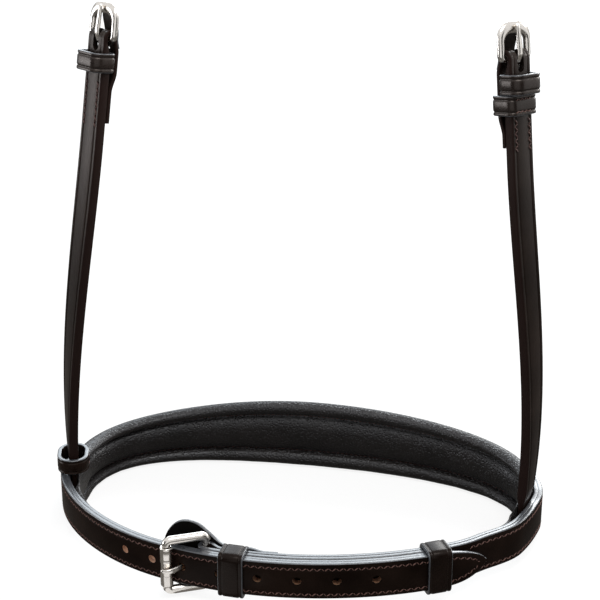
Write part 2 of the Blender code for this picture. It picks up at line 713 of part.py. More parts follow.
def pad_rings():
    """The padded lining: a roll along each edge and a broad convex panel between two sewn channels."""
    rings = []
    start = PAD_RIGHT_TIP
    end = PERIMETER + PAD_LEFT_TIP
    tail_room = HANGER_ROOT_INWARD + HANGER_TAIL_THICKNESS / 2 - DOUBLE_LEATHER
    for place in spread(start, end, PAD_PITCH):
        from_tip = min(place - start, end - place)
        full = smoothstep(from_tip, -PAD_TAPER_LENGTH / 6, PAD_TAPER_LENGTH)
        back = band_inward(place) + DOUBLE_LEATHER + GAP
        inner = back + PAD_TIP_DEPTH + (PAD_DEPTH - PAD_TIP_DEPTH) * full
        outer = back + pad_bump(place) * tail_room
        inner = max(inner, outer + PAD_TIP_DEPTH)
        share = smoothstep(from_tip, 0.0, PAD_TAPER_LENGTH)
        low = (STRAP_LOW + PAD_TIP_INSET) * (1 - share)
        high = STRAP_HIGH - PAD_TIP_INSET
        high += (nose_height(place) - high) * share
        point, _, out = plan_frame(place)
        ring = []
        for rise, depth in PAD_PROFILE_SHARES:
            depth = 1 - (1 - depth) * (0.35 + 0.65 * full)
            inward = outer + (inner - outer) * depth
            ring.append(Vector((*(point - out * inward), low + (high - low) * rise)))
        edge = (high - low) * 0.03
        ring.append(Vector((*(point - out * outer), high - edge)))
        ring.append(Vector((*(point - out * outer), low)))
        rings.append(ring)
    return rings


class Hanger:
    """Centre line, facing and buckle place of one hanger."""

    def __init__(self, place, heel_height, leans, facings, bow, tilts, loop_drop):
        _, _, out = plan_frame(place)
        side = Vector((1.0 if out[0] > 0 else -1.0, 0.0, 0.0))
        self.place = place
        self.loop_drop = loop_drop
        self.top_facing, self.root_facing = (math.radians(value) for value in facings)
        self.root = spot(place, HANGER_ROOT_INWARD, STRAP_HIGH)
        upright = Vector((0.0, 0.0, 1.0))
        lean, forward = leans
        ahead = Vector((0.0, -1.0, 0.0)) * forward
        tilt, back = (math.tan(math.radians(value)) for value in tilts)
        self.up = (upright - side * tilt + Vector((0.0, 1.0, 0.0)) * back).normalized()
        self.face = self.square_to(direction(self.top_facing), self.up)
        self.across = self.up.cross(self.face).normalized()
        self.heel = Vector((self.root.x, self.root.y, heel_height)) - side * lean + ahead
        self.outer = self.heel + self.face * (HANGER_SKIVED + GAP + BUCKLE_BAR_RADIUS)
        self.top = self.outer - self.face * HANGER_THICKNESS / 2
        self.joint = self.top - self.up * HANGER_STRAIGHT
        reach = (self.joint - self.root).length
        self.low_handle = self.root + upright * reach * LOWER_HANDLE_SHARE + side * bow
        self.high_handle = self.joint - self.up * reach * UPPER_HANDLE_SHARE

    @staticmethod
    def square_to(way, along):
        return (way - along * way.dot(along)).normalized()

    def frame(self, share):
        """Centre of the outer layer and its facing, from root to the start of the straight top."""
        rest = 1 - share
        centre = (self.root * rest ** 3 + self.low_handle * 3 * rest ** 2 * share
                  + self.high_handle * 3 * rest * share ** 2 + self.joint * share ** 3)
        along = ((self.low_handle - self.root) * rest ** 2
                 + (self.high_handle - self.low_handle) * 2 * rest * share
                 + (self.joint - self.high_handle) * share ** 2).normalized()
        turn = self.top_facing + (self.root_facing - self.top_facing) * rest ** TWIST_POWER
        face = self.square_to(direction(turn), along)
        return centre, along, face


def flat_ring(centre, face, across, thickness, width):
    bevel = EDGE_BEVEL
    half = width / 2
    deep = thickness / 2
    pairs = ((half - bevel, deep), (half, deep - bevel), (half, -deep + bevel), (half - bevel, -deep),
             (-half + bevel, -deep), (-half, -deep + bevel), (-half, deep - bevel), (-half + bevel, deep))
    return [centre + across * a + face * b for a, b in pairs]


def skived(drop):
    """Thickness of the hanger's outer layer near its top, thinned towards the turn."""
    return HANGER_SKIVED + (HANGER_THICKNESS - HANGER_SKIVED) * smoothstep(drop, 0.0, HANGER_KEEPER_DROP)


def return_shift(hanger, drop):
    """Distance behind the outer face at which the turned-back layer's middle lies, at a drop below the bar."""
    at_bar = HANGER_SKIVED * 1.5 + 2 * (BUCKLE_BAR_RADIUS + GAP)
    at_keeper = HANGER_THICKNESS + 2 * GAP + HANGER_KEEPER_WALL + HANGER_SKIVED / 2
    flat = HANGER_THICKNESS + GAP + HANGER_SKIVED / 2
    keeper_top = HANGER_KEEPER_DROP - HANGER_KEEPER_HEIGHT / 2
    shift = at_bar + (at_keeper - at_bar) * smoothstep(drop, 0.0, keeper_top)
    return shift + (flat - shift) * smoothstep(drop, hanger.loop_drop, hanger.loop_drop + HANGER_THICKNESS * 2)


def hanger_rings(hanger):
    rings = []
    _, _, root_face = hanger.frame(0.0)
    root_across = Vector((0.0, 0.0, 1.0)).cross(root_face).normalized()
    _, along_band, out = plan_frame(hanger.place)
    tail_face = Vector((*out, 0.0))
    tail_across = Vector((0.0, 0.0, 1.0)).cross(tail_face).normalized()
    tail_top = spot(hanger.place, HANGER_ROOT_INWARD, STRAP_HIGH)
    for drop in (HANGER_TAIL_DEPTH, HANGER_TAIL_DEPTH / 2, 0.0):
        centre = tail_top - Vector((0.0, 0.0, drop))
        rings.append(flat_ring(centre, tail_face, tail_across, HANGER_TAIL_THICKNESS, HANGER_WIDTH))
    length = (hanger.joint - hanger.root).length
    count = math.ceil(length / HANGER_PITCH)
    for step in range(1, count + 1):
        centre, along, face = hanger.frame(step / count)
        across = along.cross(face).normalized()
        rings.append(flat_ring(centre, face, across, HANGER_THICKNESS, HANGER_WIDTH))
    for drop in spread(HANGER_STRAIGHT, HANGER_KEEPER_DROP, 2 * HANGER_PITCH)[1:] + spread(
            HANGER_KEEPER_DROP, 0.0, HANGER_SKIVED)[1:]:
        thickness = skived(drop)
        centre = hanger.outer - hanger.up * drop - hanger.face * thickness / 2
        rings.append(flat_ring(centre, hanger.face, hanger.across, thickness, HANGER_WIDTH))
    heel = hanger.heel
    radius = BUCKLE_BAR_RADIUS + GAP + HANGER_SKIVED / 2
    for step in range(1, 2 * ARC_STEPS):
        turn = math.pi * step / (2 * ARC_STEPS)
        away = hanger.face * math.cos(turn) + hanger.up * math.sin(turn)
        rings.append(flat_ring(heel + away * radius, away, hanger.across, HANGER_SKIVED, HANGER_WIDTH))
    for drop in spread(0.0, HANGER_RETURN, HANGER_PITCH / 2):
        centre = hanger.outer - hanger.up * drop - hanger.face * return_shift(hanger, drop)
        rings.append(flat_ring(centre, -hanger.face, hanger.across, HANGER_SKIVED, HANGER_WIDTH))
    return rings


def make_hanger(side, hanger, materials):
    strap = skin(f"hanger_{side}", hanger_rings(hanger), materials["strap_leather"])
    heel = hanger.heel
    slot = oriented_box(f"slot_cutter_{side}", heel + hanger.up * (HANGER_SLOT_ABOVE - HANGER_SLOT_BELOW) / 2,
                        hanger, (TONGUE_WIDTH + 2 * SLOT_CLEARANCE, 2 * HANGER_SLOT_ABOVE,
                                 HANGER_SLOT_ABOVE + HANGER_SLOT_BELOW))
    cut(strap, slot)
    make_hanger_buckle(side, hanger, materials)
    make_buckle_tab(side, hanger, materials)
    make_hanger_keeper(side, hanger, materials)


def oriented_box(name, centre, hanger, size):
    across, through, up = (hanger.across * size[0] / 2, hanger.face * size[1] / 2, hanger.up * size[2] / 2)
    rings = [[centre + sign * up + a * across + b * through for a, b in ((-1, -1), (1, -1), (1, 1), (-1, 1))]
             for sign in (-1, 1)]
    return skin(name, rings)


def make_hanger_buckle(side, hanger, materials):
    """Frame with a heavy rounded top, open below it for the cheek strap, and a tongue on the same heel bar."""
    heel = hanger.heel
    width = BUCKLE_INNER_WIDTH + 2 * BUCKLE_LEG_RADIUS
    outline = rounded_rectangle(width, BUCKLE_RISE,
                                (BUCKLE_HEEL_CORNER, BUCKLE_TOP_CORNER, BUCKLE_TOP_CORNER, BUCKLE_HEEL_CORNER))
    points = []
    halves = []
    for across, rise in outline:
        points.append(heel + hanger.across * across + hanger.up * (rise + BUCKLE_RISE / 2))
        heavy = smoothstep(rise, BUCKLE_RISE / 2 - BUCKLE_TOP_CORNER, BUCKLE_RISE / 2)
        depth = BUCKLE_LEG_RADIUS + (BUCKLE_TOP_HALF_DEPTH - BUCKLE_LEG_RADIUS) * heavy
        halves.append((depth, BUCKLE_LEG_RADIUS))
    frame = wire(f"buckle_frame_{side}", points, hanger.face, halves, materials["buckle_steel"])
    set_origin(frame, heel)

    half = TONGUE_THICKNESS / 2
    eye = BUCKLE_BAR_RADIUS + ROLLER_CLEARANCE + half
    rest = BUCKLE_LEG_RADIUS + TONGUE_CLEARANCE + half
    path = [(eye * math.cos(math.radians(angle)), eye * math.sin(math.radians(angle)))
            for angle in (-40, -85, -130, -175, -220, -255)]
    path += [(eye, eye + TONGUE_SWELL), (BUCKLE_RISE / 2, rest + TONGUE_SWELL / 2), (BUCKLE_RISE, rest),
             (BUCKLE_RISE + TONGUE_OVERHANG, rest - half / 2)]
    curve = smooth_path(path, 3)
    count = len(curve)
    tongue_halves = []
    for index in range(count):
        slim = 1.0 - 0.35 * smoothstep(index, count * 0.7, count - 1)
        tongue_halves.append((half * slim, TONGUE_WIDTH / 2 * slim))
    spots = [heel + hanger.up * a + hanger.face * b for a, b in curve]
    tongue = wire(f"buckle_tongue_{side}", spots, hanger.across, tongue_halves, materials["buckle_steel"],
                  closed=False)
    set_origin(tongue, heel)


def make_buckle_tab(side, hanger, materials):
    """Leather tab sewn behind the turn, standing up behind the buckle with a rounded top."""
    behind = HANGER_SKIVED / 2 + GAP + TAB_THICKNESS / 2
    rings = []
    for drop in spread(TAB_FOOT, 0.0, HANGER_PITCH / 2):
        centre = hanger.outer - hanger.up * drop - hanger.face * (return_shift(hanger, drop) + behind)
        rings.append(flat_ring(centre, -hanger.face, hanger.across, TAB_THICKNESS, TAB_WIDTH))
    at_bar = return_shift(hanger, 0.0) + behind - (HANGER_SKIVED + GAP + BUCKLE_BAR_RADIUS)
    at_frame = BUCKLE_LEG_RADIUS + TAB_CLEARANCE + TAB_THICKNESS / 2
    tip = TAB_TIP_WIDTH / 2
    straight = TAB_RISE - tip
    turns = [math.pi / 2 * step / ARC_STEPS for step in range(1, ARC_STEPS + 1)]
    outline = [(rise, TAB_WIDTH) for rise in spread(0.0, straight, HANGER_PITCH / 2)[1:]]
    outline += [(straight + tip * math.sin(turn), TAB_TIP_WIDTH + (TAB_WIDTH - TAB_TIP_WIDTH) * math.cos(turn))
                for turn in turns]
    for rise, width in outline:
        near = smoothstep(rise, tip / 2, straight)
        centre = hanger.heel + hanger.up * rise - hanger.face * (at_bar + (at_frame - at_bar) * near)
        rings.append(flat_ring(centre, -hanger.face, hanger.across, TAB_THICKNESS, width))
    skin(f"buckle_tab_{side}", rings, materials["lining_leather"])


def make_hanger_keeper(side, hanger, materials):
    room = 2 * (LOOP_CLEARANCE + HANGER_KEEPER_WALL)
    inner = HANGER_THICKNESS + HANGER_KEEPER_SPACE
    back = HANGER_THICKNESS + GAP
    back_corner = KEEPER_CORNER + HANGER_KEEPER_WALL
    centre = hanger.outer - hanger.up * HANGER_KEEPER_DROP + hanger.face * (inner / 2 - back)
    loop_ring(f"keeper_{side}", centre, hanger.across, hanger.face, hanger.up,
              (HANGER_WIDTH + room, inner + 2 * HANGER_KEEPER_WALL), HANGER_KEEPER_WALL, HANGER_KEEPER_HEIGHT,
              (back_corner, HANGER_KEEPER_CORNER, HANGER_KEEPER_CORNER, back_corner), materials["strap_leather"])


def make_lower_loop(hanger, materials):
    """Sewn loop round both layers of the right hanger."""
    layers = return_shift(hanger, hanger.loop_drop) + HANGER_SKIVED / 2
    room = 2 * (LOOP_CLEARANCE + HANGER_KEEPER_WALL)
    centre = hanger.outer - hanger.up * (hanger.loop_drop - LOWER_LOOP_HEIGHT / 2) - hanger.face * layers / 2
    loop_ring("lower_loop_right", centre, hanger.across, hanger.face, hanger.up,
              (HANGER_WIDTH + room, layers + room), HANGER_KEEPER_WALL, LOWER_LOOP_HEIGHT,
              (KEEPER_CORNER + HANGER_KEEPER_WALL,) * 4, materials["strap_leather"])


def make_slip_loop(materials):
    """Upright oval loop that holds the foot of the left hanger, with two ends sewn in behind the band."""
    _, along, out = plan_frame(LEFT_HANGER_PLACE)
    along = Vector((*along, 0.0))
    out = Vector((*out, 0.0))
    up = Vector((0.0, 0.0, 1.0))
    base = spot(LEFT_HANGER_PLACE, HANGER_ROOT_INWARD, STRAP_HIGH + SLIP_LOOP_RISE)
    centre = base + up * SLIP_LOOP_HEIGHT / 2
    loop = loop_ring("slip_loop", centre, along, out, up, (SLIP_LOOP_LENGTH, SLIP_LOOP_DEPTH), SLIP_LOOP_WALL,
                     SLIP_LOOP_HEIGHT, (SLIP_LOOP_CORNER,) * 4, materials["strap_leather"])
    for index, sign in enumerate((-1, 1)):
        reach = sign * (SLIP_LOOP_LENGTH - SLIP_LOOP_WALL) / 2
        foot = spot(LEFT_HANGER_PLACE + reach, HANGER_ROOT_INWARD, STRAP_HIGH + SLIP_LOOP_RISE)
        middle = foot - up * (SLIP_LOOP_END_DROP - SLIP_LOOP_WALL) / 2
        half_up = up * (SLIP_LOOP_END_DROP + SLIP_LOOP_WALL) / 2
        half_along = along * SLIP_LOOP_END_WIDTH / 2
        half_out = out * HANGER_TAIL_THICKNESS / 2
        rings = [[middle + level * half_up + a * half_along + b * half_out
                  for a, b in ((-1, -1), (1, -1), (1, 1), (-1, 1))] for level in (-1, 1)]
        end = skin(f"slip_loop_end_{index + 1}", rings)
        modifier = loop.modifiers.new(end.name, "BOOLEAN")
        modifier.operation = "UNION"
        modifier.object = end
        modifier.solver = "EXACT"


def centre_on_origin():
    """Moves everything so that the middle of the model's lower side is the origin."""
    bpy.context.view_layer.update()
    graph = bpy.context.evaluated_depsgraph_get()
    corners = []
    for item in bpy.context.scene.objects:
        if item.type == "MESH" and not item.hide_render:
            shape = item.evaluated_get(graph)
            corners += [shape.matrix_world @ vertex.co for vertex in shape.to_mesh().vertices]
            shape.to_mesh_clear()
    low = Vector([min(corner[axis] for corner in corners) for axis in range(3)])
    high = Vector([max(corner[axis] for corner in corners) for axis in range(3)])
    shift = Vector((-(low.x + high.x) / 2, -(low.y + high.y) / 2, -low.z))
    for item in bpy.context.scene.objects:
        item.location += shift
    bpy.context.view_layer.update()
    return shift


def main():
    clear_scene()
    materials = make_materials()
    strap = materials["strap_leather"]
    lining = materials["lining_leather"]
    band = skin("band_leather", band_rings(), strap)
    _, along, out = plan_frame(HEEL_PLACE)
    slot_start = FIXED_INWARD - GAP / 2
    slot_end = HEEL_INWARD + TURN_RADIUS + CUTTER_OVERRUN
    slot_centre = spot(HEEL_PLACE, (slot_start + slot_end) / 2, STRAP_MIDDLE)
    slot_centre += Vector((*(along * (SLOT_LENGTH - TURN_RADIUS - CUTTER_OVERRUN) / 2), 0.0))
    cut(band, box_cutter("slot_cutter_chin", slot_centre, along, out,
                         (SLOT_LENGTH + TURN_RADIUS + CUTTER_OVERRUN, slot_end - slot_start,
                          CHIN_TONGUE_WIDTH + 2 * SLOT_CLEARANCE)))

    left_join = LEFT_HANGER_PLACE
    right_join = RIGHT_HANGER_PLACE
    under = LEATHER + GAP
    billet = band_layer("billet_lining", billet_stations(left_join), lambda place: under,
                        lambda place: billet_heights(place), lining)
    punch_holes((band, billet))
    band_layer("nose_backing", spread(right_join + GAP, PERIMETER + left_join - GAP, STATION_PITCH),
               lambda place: under, band_heights, lining)
    band_layer("buckle_strap_lining", spread(right_join, RETURN_END + GAP, STATION_PITCH),
               lambda place: fixed_inward(place) + under, lambda place: (STRAP_LOW, STRAP_HIGH), lining)
    skin("nose_lining", pad_rings(), materials["padding_leather"])

    make_chin_buckle(materials)
    make_chin_keepers(materials)
    make_guard(materials)
    keeper_low = HANGER_KEEPER_DROP + HANGER_KEEPER_HEIGHT / 2
    left = Hanger(LEFT_HANGER_PLACE, LEFT_HEEL_HEIGHT, (LEFT_LEAN, LEFT_FORWARD),
                  (LEFT_TOP_FACING_DEG, LEFT_ROOT_FACING_DEG), LEFT_BOW,
                  (LEFT_TOP_TILT_DEG, LEFT_TOP_BACK_DEG), keeper_low)
    right = Hanger(RIGHT_HANGER_PLACE, RIGHT_HEEL_HEIGHT, (RIGHT_LEAN, RIGHT_FORWARD),
                   (RIGHT_TOP_FACING_DEG, RIGHT_ROOT_FACING_DEG), RIGHT_BOW,
                   (RIGHT_TOP_TILT_DEG, RIGHT_TOP_BACK_DEG), keeper_low + GAP + LOWER_LOOP_HEIGHT)
    make_hanger("left", left, materials)
    make_hanger("right", right, materials)
    make_lower_loop(right, materials)
    make_slip_loop(materials)
    shift = centre_on_origin()
    report(shift, left, right)


def report(shift, left, right):
    """Prints the places that a drawing of the part would give."""
    heel, roller, reach, face = chin_axes()
    print("perimeter", round(PERIMETER, 5))
    print("shift", [round(value, 5) for value in shift])
    print("plan centre", [round(float(value), 5) for value in PLAN_CENTRE])
    print("chin heel", [round(value, 5) for value in heel + shift])
    print("chin roller", [round(value, 5) for value in roller + shift])
    print("chin arc centre", [round(value, 5) for value in chin_arc_centre() + shift])
    for side, hanger in (("left", left), ("right", right)):
        print(side, "heel", [round(value, 5) for value in hanger.heel + shift],
              "bar axis", [round(value, 5) for value in hanger.across],
              "up", [round(value, 5) for value in hanger.up],
              "face", [round(value, 5) for value in hanger.face])


main()
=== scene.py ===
"""Looks of the bridle noseband: grained leather, pressed creases, thread, padding and polished buckles.

The pieces follow the same plan and sections as the solids, in metres, with finer sections and edges.
"""
import functools
import math

import bmesh
import bpy
import numpy as np
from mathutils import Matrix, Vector, noise


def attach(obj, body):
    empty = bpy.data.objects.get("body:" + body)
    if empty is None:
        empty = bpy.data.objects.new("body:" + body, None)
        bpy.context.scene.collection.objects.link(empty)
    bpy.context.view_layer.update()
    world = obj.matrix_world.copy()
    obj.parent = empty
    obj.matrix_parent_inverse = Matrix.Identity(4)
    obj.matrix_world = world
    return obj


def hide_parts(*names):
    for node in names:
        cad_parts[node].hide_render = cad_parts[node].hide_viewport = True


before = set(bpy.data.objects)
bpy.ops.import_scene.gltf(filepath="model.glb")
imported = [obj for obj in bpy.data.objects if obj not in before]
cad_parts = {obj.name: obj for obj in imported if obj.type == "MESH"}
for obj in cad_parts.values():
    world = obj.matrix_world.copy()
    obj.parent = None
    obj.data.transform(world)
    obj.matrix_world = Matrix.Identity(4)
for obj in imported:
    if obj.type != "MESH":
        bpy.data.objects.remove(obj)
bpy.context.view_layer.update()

MM = 0.001
UP = Vector((0.0, 0.0, 1.0))

# Sizes of the solids; the plan is shifted to where they stand
SHIFT = (0.2002 * MM, 1.1189 * MM)
CHIN_LEFT_RADIUS = 173.0 * MM
CHIN_RIGHT_RADIUS = 194.0 * MM
CHIN_ARC_LEFT_DEG = 19.5
CHIN_ARC_RIGHT_DEG = 30.0
RIGHT_REACH = 136.5 * MM
RIGHT_SIDE_BACK = 98.0 * MM
LEFT_REACH = 128.0 * MM
LEFT_SIDE_BACK = 95.5 * MM
LOOP_DEPTH = 163.0 * MM
NOSE_LEFT_OF_CHIN = 12.5 * MM
HANDLE_SHARES = ((0.36, 0.26), (0.35, 0.355), (0.40, 0.455), (0.355, 0.335))

LEATHER = 2.2 * MM
GAP = 0.3 * MM
STRAP_WIDTH = 20.0 * MM
STRAP_LOW = 7.5 * MM
STATION_PITCH = 6.0 * MM

NOSE_END_HEIGHT = 27.5 * MM
NOSE_MID_HEIGHT = 40.8 * MM
NOSE_CROWN_LEFT_REACH = 150.0 * MM
NOSE_CROWN_RIGHT_REACH = 210.0 * MM
NOSE_LEATHER_BELOW_ROLL = 5.6 * MM
NOSE_LEATHER_LOW = 3.0 * MM
NOSE_WIDEN_FROM = 168.0 * MM
NOSE_WIDEN_LENGTH = 34.0 * MM
PAD_DEPTH = 7.6 * MM
PAD_LEFT_TIP = -116.0 * MM
PAD_RIGHT_TIP = 128.0 * MM
PAD_TIP_DEPTH = 1.0 * MM
PAD_TIP_INSET = 2.0 * MM
PAD_TAPER_LENGTH = 62.0 * MM
PAD_PROFILE = (
    (0.00, 0.34), (0.025, 0.74), (0.075, 0.98), (0.13, 1.00), (0.19, 0.82), (0.235, 0.40),
    (0.28, 0.66), (0.38, 0.86), (0.50, 0.92), (0.62, 0.87), (0.715, 0.70), (0.785, 0.42),
    (0.83, 0.82), (0.885, 0.99), (0.945, 0.93), (0.985, 0.66), (1.00, 0.32),
)

BILLET_TIP = 118.0 * MM
BILLET_POINT_LENGTH = 28.0 * MM
BILLET_TIP_HEIGHT = 2.4 * MM
HOLE_DIAMETER = 4.6 * MM
HOLE_PITCH = 20.0 * MM
HOLE_PITCH_BEFORE_TONGUE = 17.4 * MM
HOLES_BEFORE_TONGUE = 2
HOLES_AFTER_TONGUE = 5
STRAP_MERGE_LENGTH = 31.0 * MM

HEEL_PLACE = -32.0 * MM
ROLLER_PLACE = -48.6 * MM
TONGUE_HOLE_PLACE = -42.0 * MM
HEEL_BAR_RADIUS = 1.8 * MM
ROLLER_BAR_RADIUS = 1.8 * MM
ROLLER_RADIUS = 3.2 * MM
ROLLER_WAIST_RADIUS = 2.95 * MM
ROLLER_WAIST_LENGTH = 5.0 * MM
ROLLER_LENGTH = 22.0 * MM
ROLLER_CLEARANCE = 0.25 * MM
CHIN_LEG_RADIUS = 2.3 * MM
CHIN_BUCKLE_INNER_WIDTH = 24.0 * MM
CHIN_CORNER_RADIUS = 2.6 * MM
CHIN_BUCKLE_RISE = 1.1 * MM
CHIN_TONGUE_WIDTH = 3.0 * MM
CHIN_TONGUE_THICKNESS = 2.0 * MM
CHIN_TONGUE_OVERHANG = 3.6 * MM
CHIN_TONGUE_DIP = 1.9 * MM
TONGUE_CLEARANCE = 0.35 * MM
SLOT_CLEARANCE = 0.5 * MM
SLOT_LENGTH = 7.0 * MM
HANGER_SLOT_BELOW = 6.4 * MM
HANGER_SLOT_ABOVE = 8.0 * MM
RETURN_END = 12.0 * MM
RETURN_EASE = 9.0 * MM

KEEPER_WALL = 2.0 * MM
KEEPER_CLEARANCE = 0.4 * MM
KEEPER_CORNER = 1.6 * MM
FIXED_KEEPER_PLACE = -15.4 * MM
FIXED_KEEPER_WIDTH = 12.9 * MM
RUNNER_PLACE = 90.4 * MM
RUNNER_WIDTH = 12.6 * MM

GUARD_THICKNESS = 2.0 * MM
GUARD_LEFT_END = -56.5 * MM
GUARD_RIGHT_END = 7.0 * MM
GUARD_BULB_LENGTH = 10.5 * MM
GUARD_BULB_HALF_HEIGHT = 19.0 * MM
GUARD_NECK_LENGTH = 24.0 * MM
GUARD_NECK_HALF_HEIGHT = 9.3 * MM
GUARD_END_INWARD = 6.4 * MM

HANGER_WIDTH = 13.5 * MM
HANGER_THICKNESS = 5.0 * MM
HANGER_SKIVED = 2.2 * MM
HANGER_ROOT_INWARD = 7.2 * MM
HANGER_TAIL_DEPTH = 15.0 * MM
HANGER_TAIL_THICKNESS = 2.8 * MM
HANGER_STRAIGHT = 46.0 * MM
HANGER_RETURN = 42.0 * MM
LEFT_HANGER_PLACE = -160.5 * MM
RIGHT_HANGER_PLACE = 168.0 * MM
# place, heel height, lean, forward, facing at top and root, bow, tilt and lean back at the top
LEFT_HANGER = (LEFT_HANGER_PLACE, 269.0 * MM, 27.7 * MM, 0.0, -38.0, -72.0, 1.8 * MM, 5.2, 9.0)
RIGHT_HANGER = (RIGHT_HANGER_PLACE, 268.7 * MM, 16.6 * MM, 9.0 * MM, 48.0, 74.0, 6.0 * MM, 5.1, 9.0)
TWIST_POWER = 2.0
LOWER_HANDLE_SHARE = 0.34
UPPER_HANDLE_SHARE = 0.30

BUCKLE_INNER_WIDTH = 14.0 * MM
BUCKLE_LEG_RADIUS = 1.75 * MM
BUCKLE_BAR_RADIUS = 1.6 * MM
BUCKLE_TOP_HALF_DEPTH = 2.9 * MM
BUCKLE_RISE = 14.6 * MM
BUCKLE_TOP_CORNER = 6.4 * MM
BUCKLE_HEEL_CORNER = 1.9 * MM
TAB_THICKNESS = 1.4 * MM
TAB_WIDTH = 10.2 * MM
TAB_TIP_WIDTH = 7.0 * MM
TAB_CLEARANCE = 0.4 * MM
TAB_FOOT = 5.0 * MM
TAB_RISE = 15.2 * MM
TONGUE_WIDTH = 3.2 * MM
TONGUE_THICKNESS = 2.0 * MM
TONGUE_OVERHANG = 0.9 * MM
TONGUE_SWELL = 1.0 * MM
HANGER_KEEPER_WALL = 2.0 * MM
HANGER_KEEPER_HEIGHT = 9.6 * MM
HANGER_KEEPER_DROP = 11.8 * MM
HANGER_KEEPER_SPACE = 4.6 * MM
HANGER_KEEPER_CORNER = 5.0 * MM
LOWER_LOOP_HEIGHT = 9.6 * MM
LOOP_CLEARANCE = 0.35 * MM

SLIP_LOOP_LENGTH = 22.5 * MM
SLIP_LOOP_DEPTH = 17.0 * MM
SLIP_LOOP_RISE = 0.8 * MM
SLIP_LOOP_HEIGHT = 8.6 * MM
SLIP_LOOP_WALL = 2.2 * MM
SLIP_LOOP_END_WIDTH = 2.2 * MM
SLIP_LOOP_END_DROP = 12.0 * MM

STRAP_HIGH = STRAP_LOW + STRAP_WIDTH
STRAP_MIDDLE = STRAP_LOW + STRAP_WIDTH / 2
DOUBLE_LEATHER = 2 * LEATHER + GAP
FIXED_INWARD = DOUBLE_LEATHER + GAP
HEEL_INWARD = FIXED_INWARD + LEATHER + GAP + HEEL_BAR_RADIUS
TURN_RADIUS = HEEL_BAR_RADIUS + GAP + LEATHER
POINT_START = BILLET_TIP - BILLET_POINT_LENGTH

# Fineness of the surfaces
PLAN_SAMPLES = 400
POINT_SAMPLES = 160
ARC_STEPS = 10
WIRE_SIDES = 24
HOLE_SIDES = 28
ROLLER_SIDES = 48
THREAD_SIDES = 6
FINE_PITCH = 2.4 * MM
PAD_PITCH = 1.9 * MM
HANGER_PITCH = 2.6 * MM
SHARP_ANGLE_DEG = 42.0
# Faces whose points all pass this share take the edge material: partly rubbed wear, partly a painted sheen
WORN_AND_SHEEN_EDGE = 0.4

# Finish of the leather: eased edges, crowns, pressed lines and stitch rows
CLOSED_LEATHER = LEATHER + GAP - 0.06 * MM
STRAP_FINISH = (0.60 * MM, 0.1 * MM, 0.12 * MM)
LINING_EDGES = (0.08 * MM, 0.6 * MM)
GUARD_EDGES = (0.7 * MM, 0.5 * MM)
HANGER_FINISH = (0.8 * MM, 0.5 * MM, 0.10 * MM)
TAB_EDGES = (0.45 * MM, 0.35 * MM)
LOOP_EDGES = (0.6 * MM, 0.5 * MM)
LOOP_GROOVE = (0.38 * MM, 0.55 * MM)
LOOP_SWELL = 0.14 * MM
POINT_SKIVE_SHARE = 0.42
LINING_INSET = 1.3 * MM
# Depth of the painted shade at the mouth of each hole
HOLE_SHADED_RIM = 0.7 * MM
HANGER_CREASE = 0.42 * MM
HANGER_ROW_MARGIN = 2.25 * MM
LOWER_LOOP_ROW_MARGIN = 1.9 * MM
SLIP_LOOP_CORNER = 8.4 * MM
STITCH_PITCH = 3.7 * MM
STITCH_LENGTH = 2.3 * MM
STITCH_RADIUS = 0.33 * MM
STITCH_SLANT = 1.9 * MM
ROW_FROM_TOP = 3.3 * MM
ROW_FROM_BOTTOM = 2.3 * MM
ROW_FROM_TIP = 3.4 * MM
CHANNEL_DEPTH = 0.34 * MM
CHANNEL_HALF_WIDTH = 0.75 * MM
# rise and depth shares of the padding's sewn channels, and their width share
PAD_CHANNELS = ((0.235, 0.40, 0.075), (0.785, 0.42, 0.07))
PAD_GATHER = 4.1 * MM


# Plan of the band

def smoothstep(value, start, end):
    share = min(max((value - start) / (end - start), 0.0), 1.0)
    return share * share * (3 - 2 * share)


def spread(start, end, pitch):
    """Even places from start to end, at most a pitch apart."""
    count = max(2, math.ceil(abs(end - start) / pitch) + 1)
    return [float(value) for value in np.linspace(start, end, count)]


def turns(count):
    return [2 * math.pi * step / count for step in range(count)]


def level(way):
    return Vector((*way, 0.0))


def direction(azimuth):
    """Level unit vector, turned from -Y towards +X."""
    return level((math.sin(azimuth), -math.cos(azimuth)))


def quarter(start, start_way, end, end_way, shares):
    """A cubic curve whose handles are shares of its reach."""
    reach = np.linalg.norm(end - start)
    share = np.linspace(0.0, 1.0, PLAN_SAMPLES, endpoint=False)[:, None]
    rest = 1 - share
    return (rest ** 3 * start + 3 * rest ** 2 * share * (start + start_way * reach * shares[0])
            + 3 * rest * share ** 2 * (end - end_way * reach * shares[1]) + share ** 3 * end)


def plan_points():
    """Outer face of the band from above, once round, from the middle of the chin arc to the right."""
    def arc_point(angle):
        radius = CHIN_RIGHT_RADIUS if angle > 0 else CHIN_LEFT_RADIUS
        return radius * np.array([math.sin(angle), 1 - math.cos(angle)])

    def arc_run(start, end):
        return np.array([arc_point(angle) for angle in np.linspace(start, end, PLAN_SAMPLES, endpoint=False)])

    left, right = -math.radians(CHIN_ARC_LEFT_DEG), math.radians(CHIN_ARC_RIGHT_DEG)
    left_way, right_way = (np.array([math.cos(angle), math.sin(angle)]) for angle in (left, right))
    side, back = np.eye(2)
    knots = ((arc_point(right), right_way), (np.array([RIGHT_REACH, RIGHT_SIDE_BACK]), back),
             (np.array([-NOSE_LEFT_OF_CHIN, LOOP_DEPTH]), -side),
             (np.array([-LEFT_REACH, LEFT_SIDE_BACK]), -back), (arc_point(left), left_way))
    quarters = [quarter(*near, *far, shares) for near, far, shares in zip(knots, knots[1:], HANDLE_SHARES)]
    return np.concatenate([arc_run(0, right), *quarters, arc_run(left, 0)])


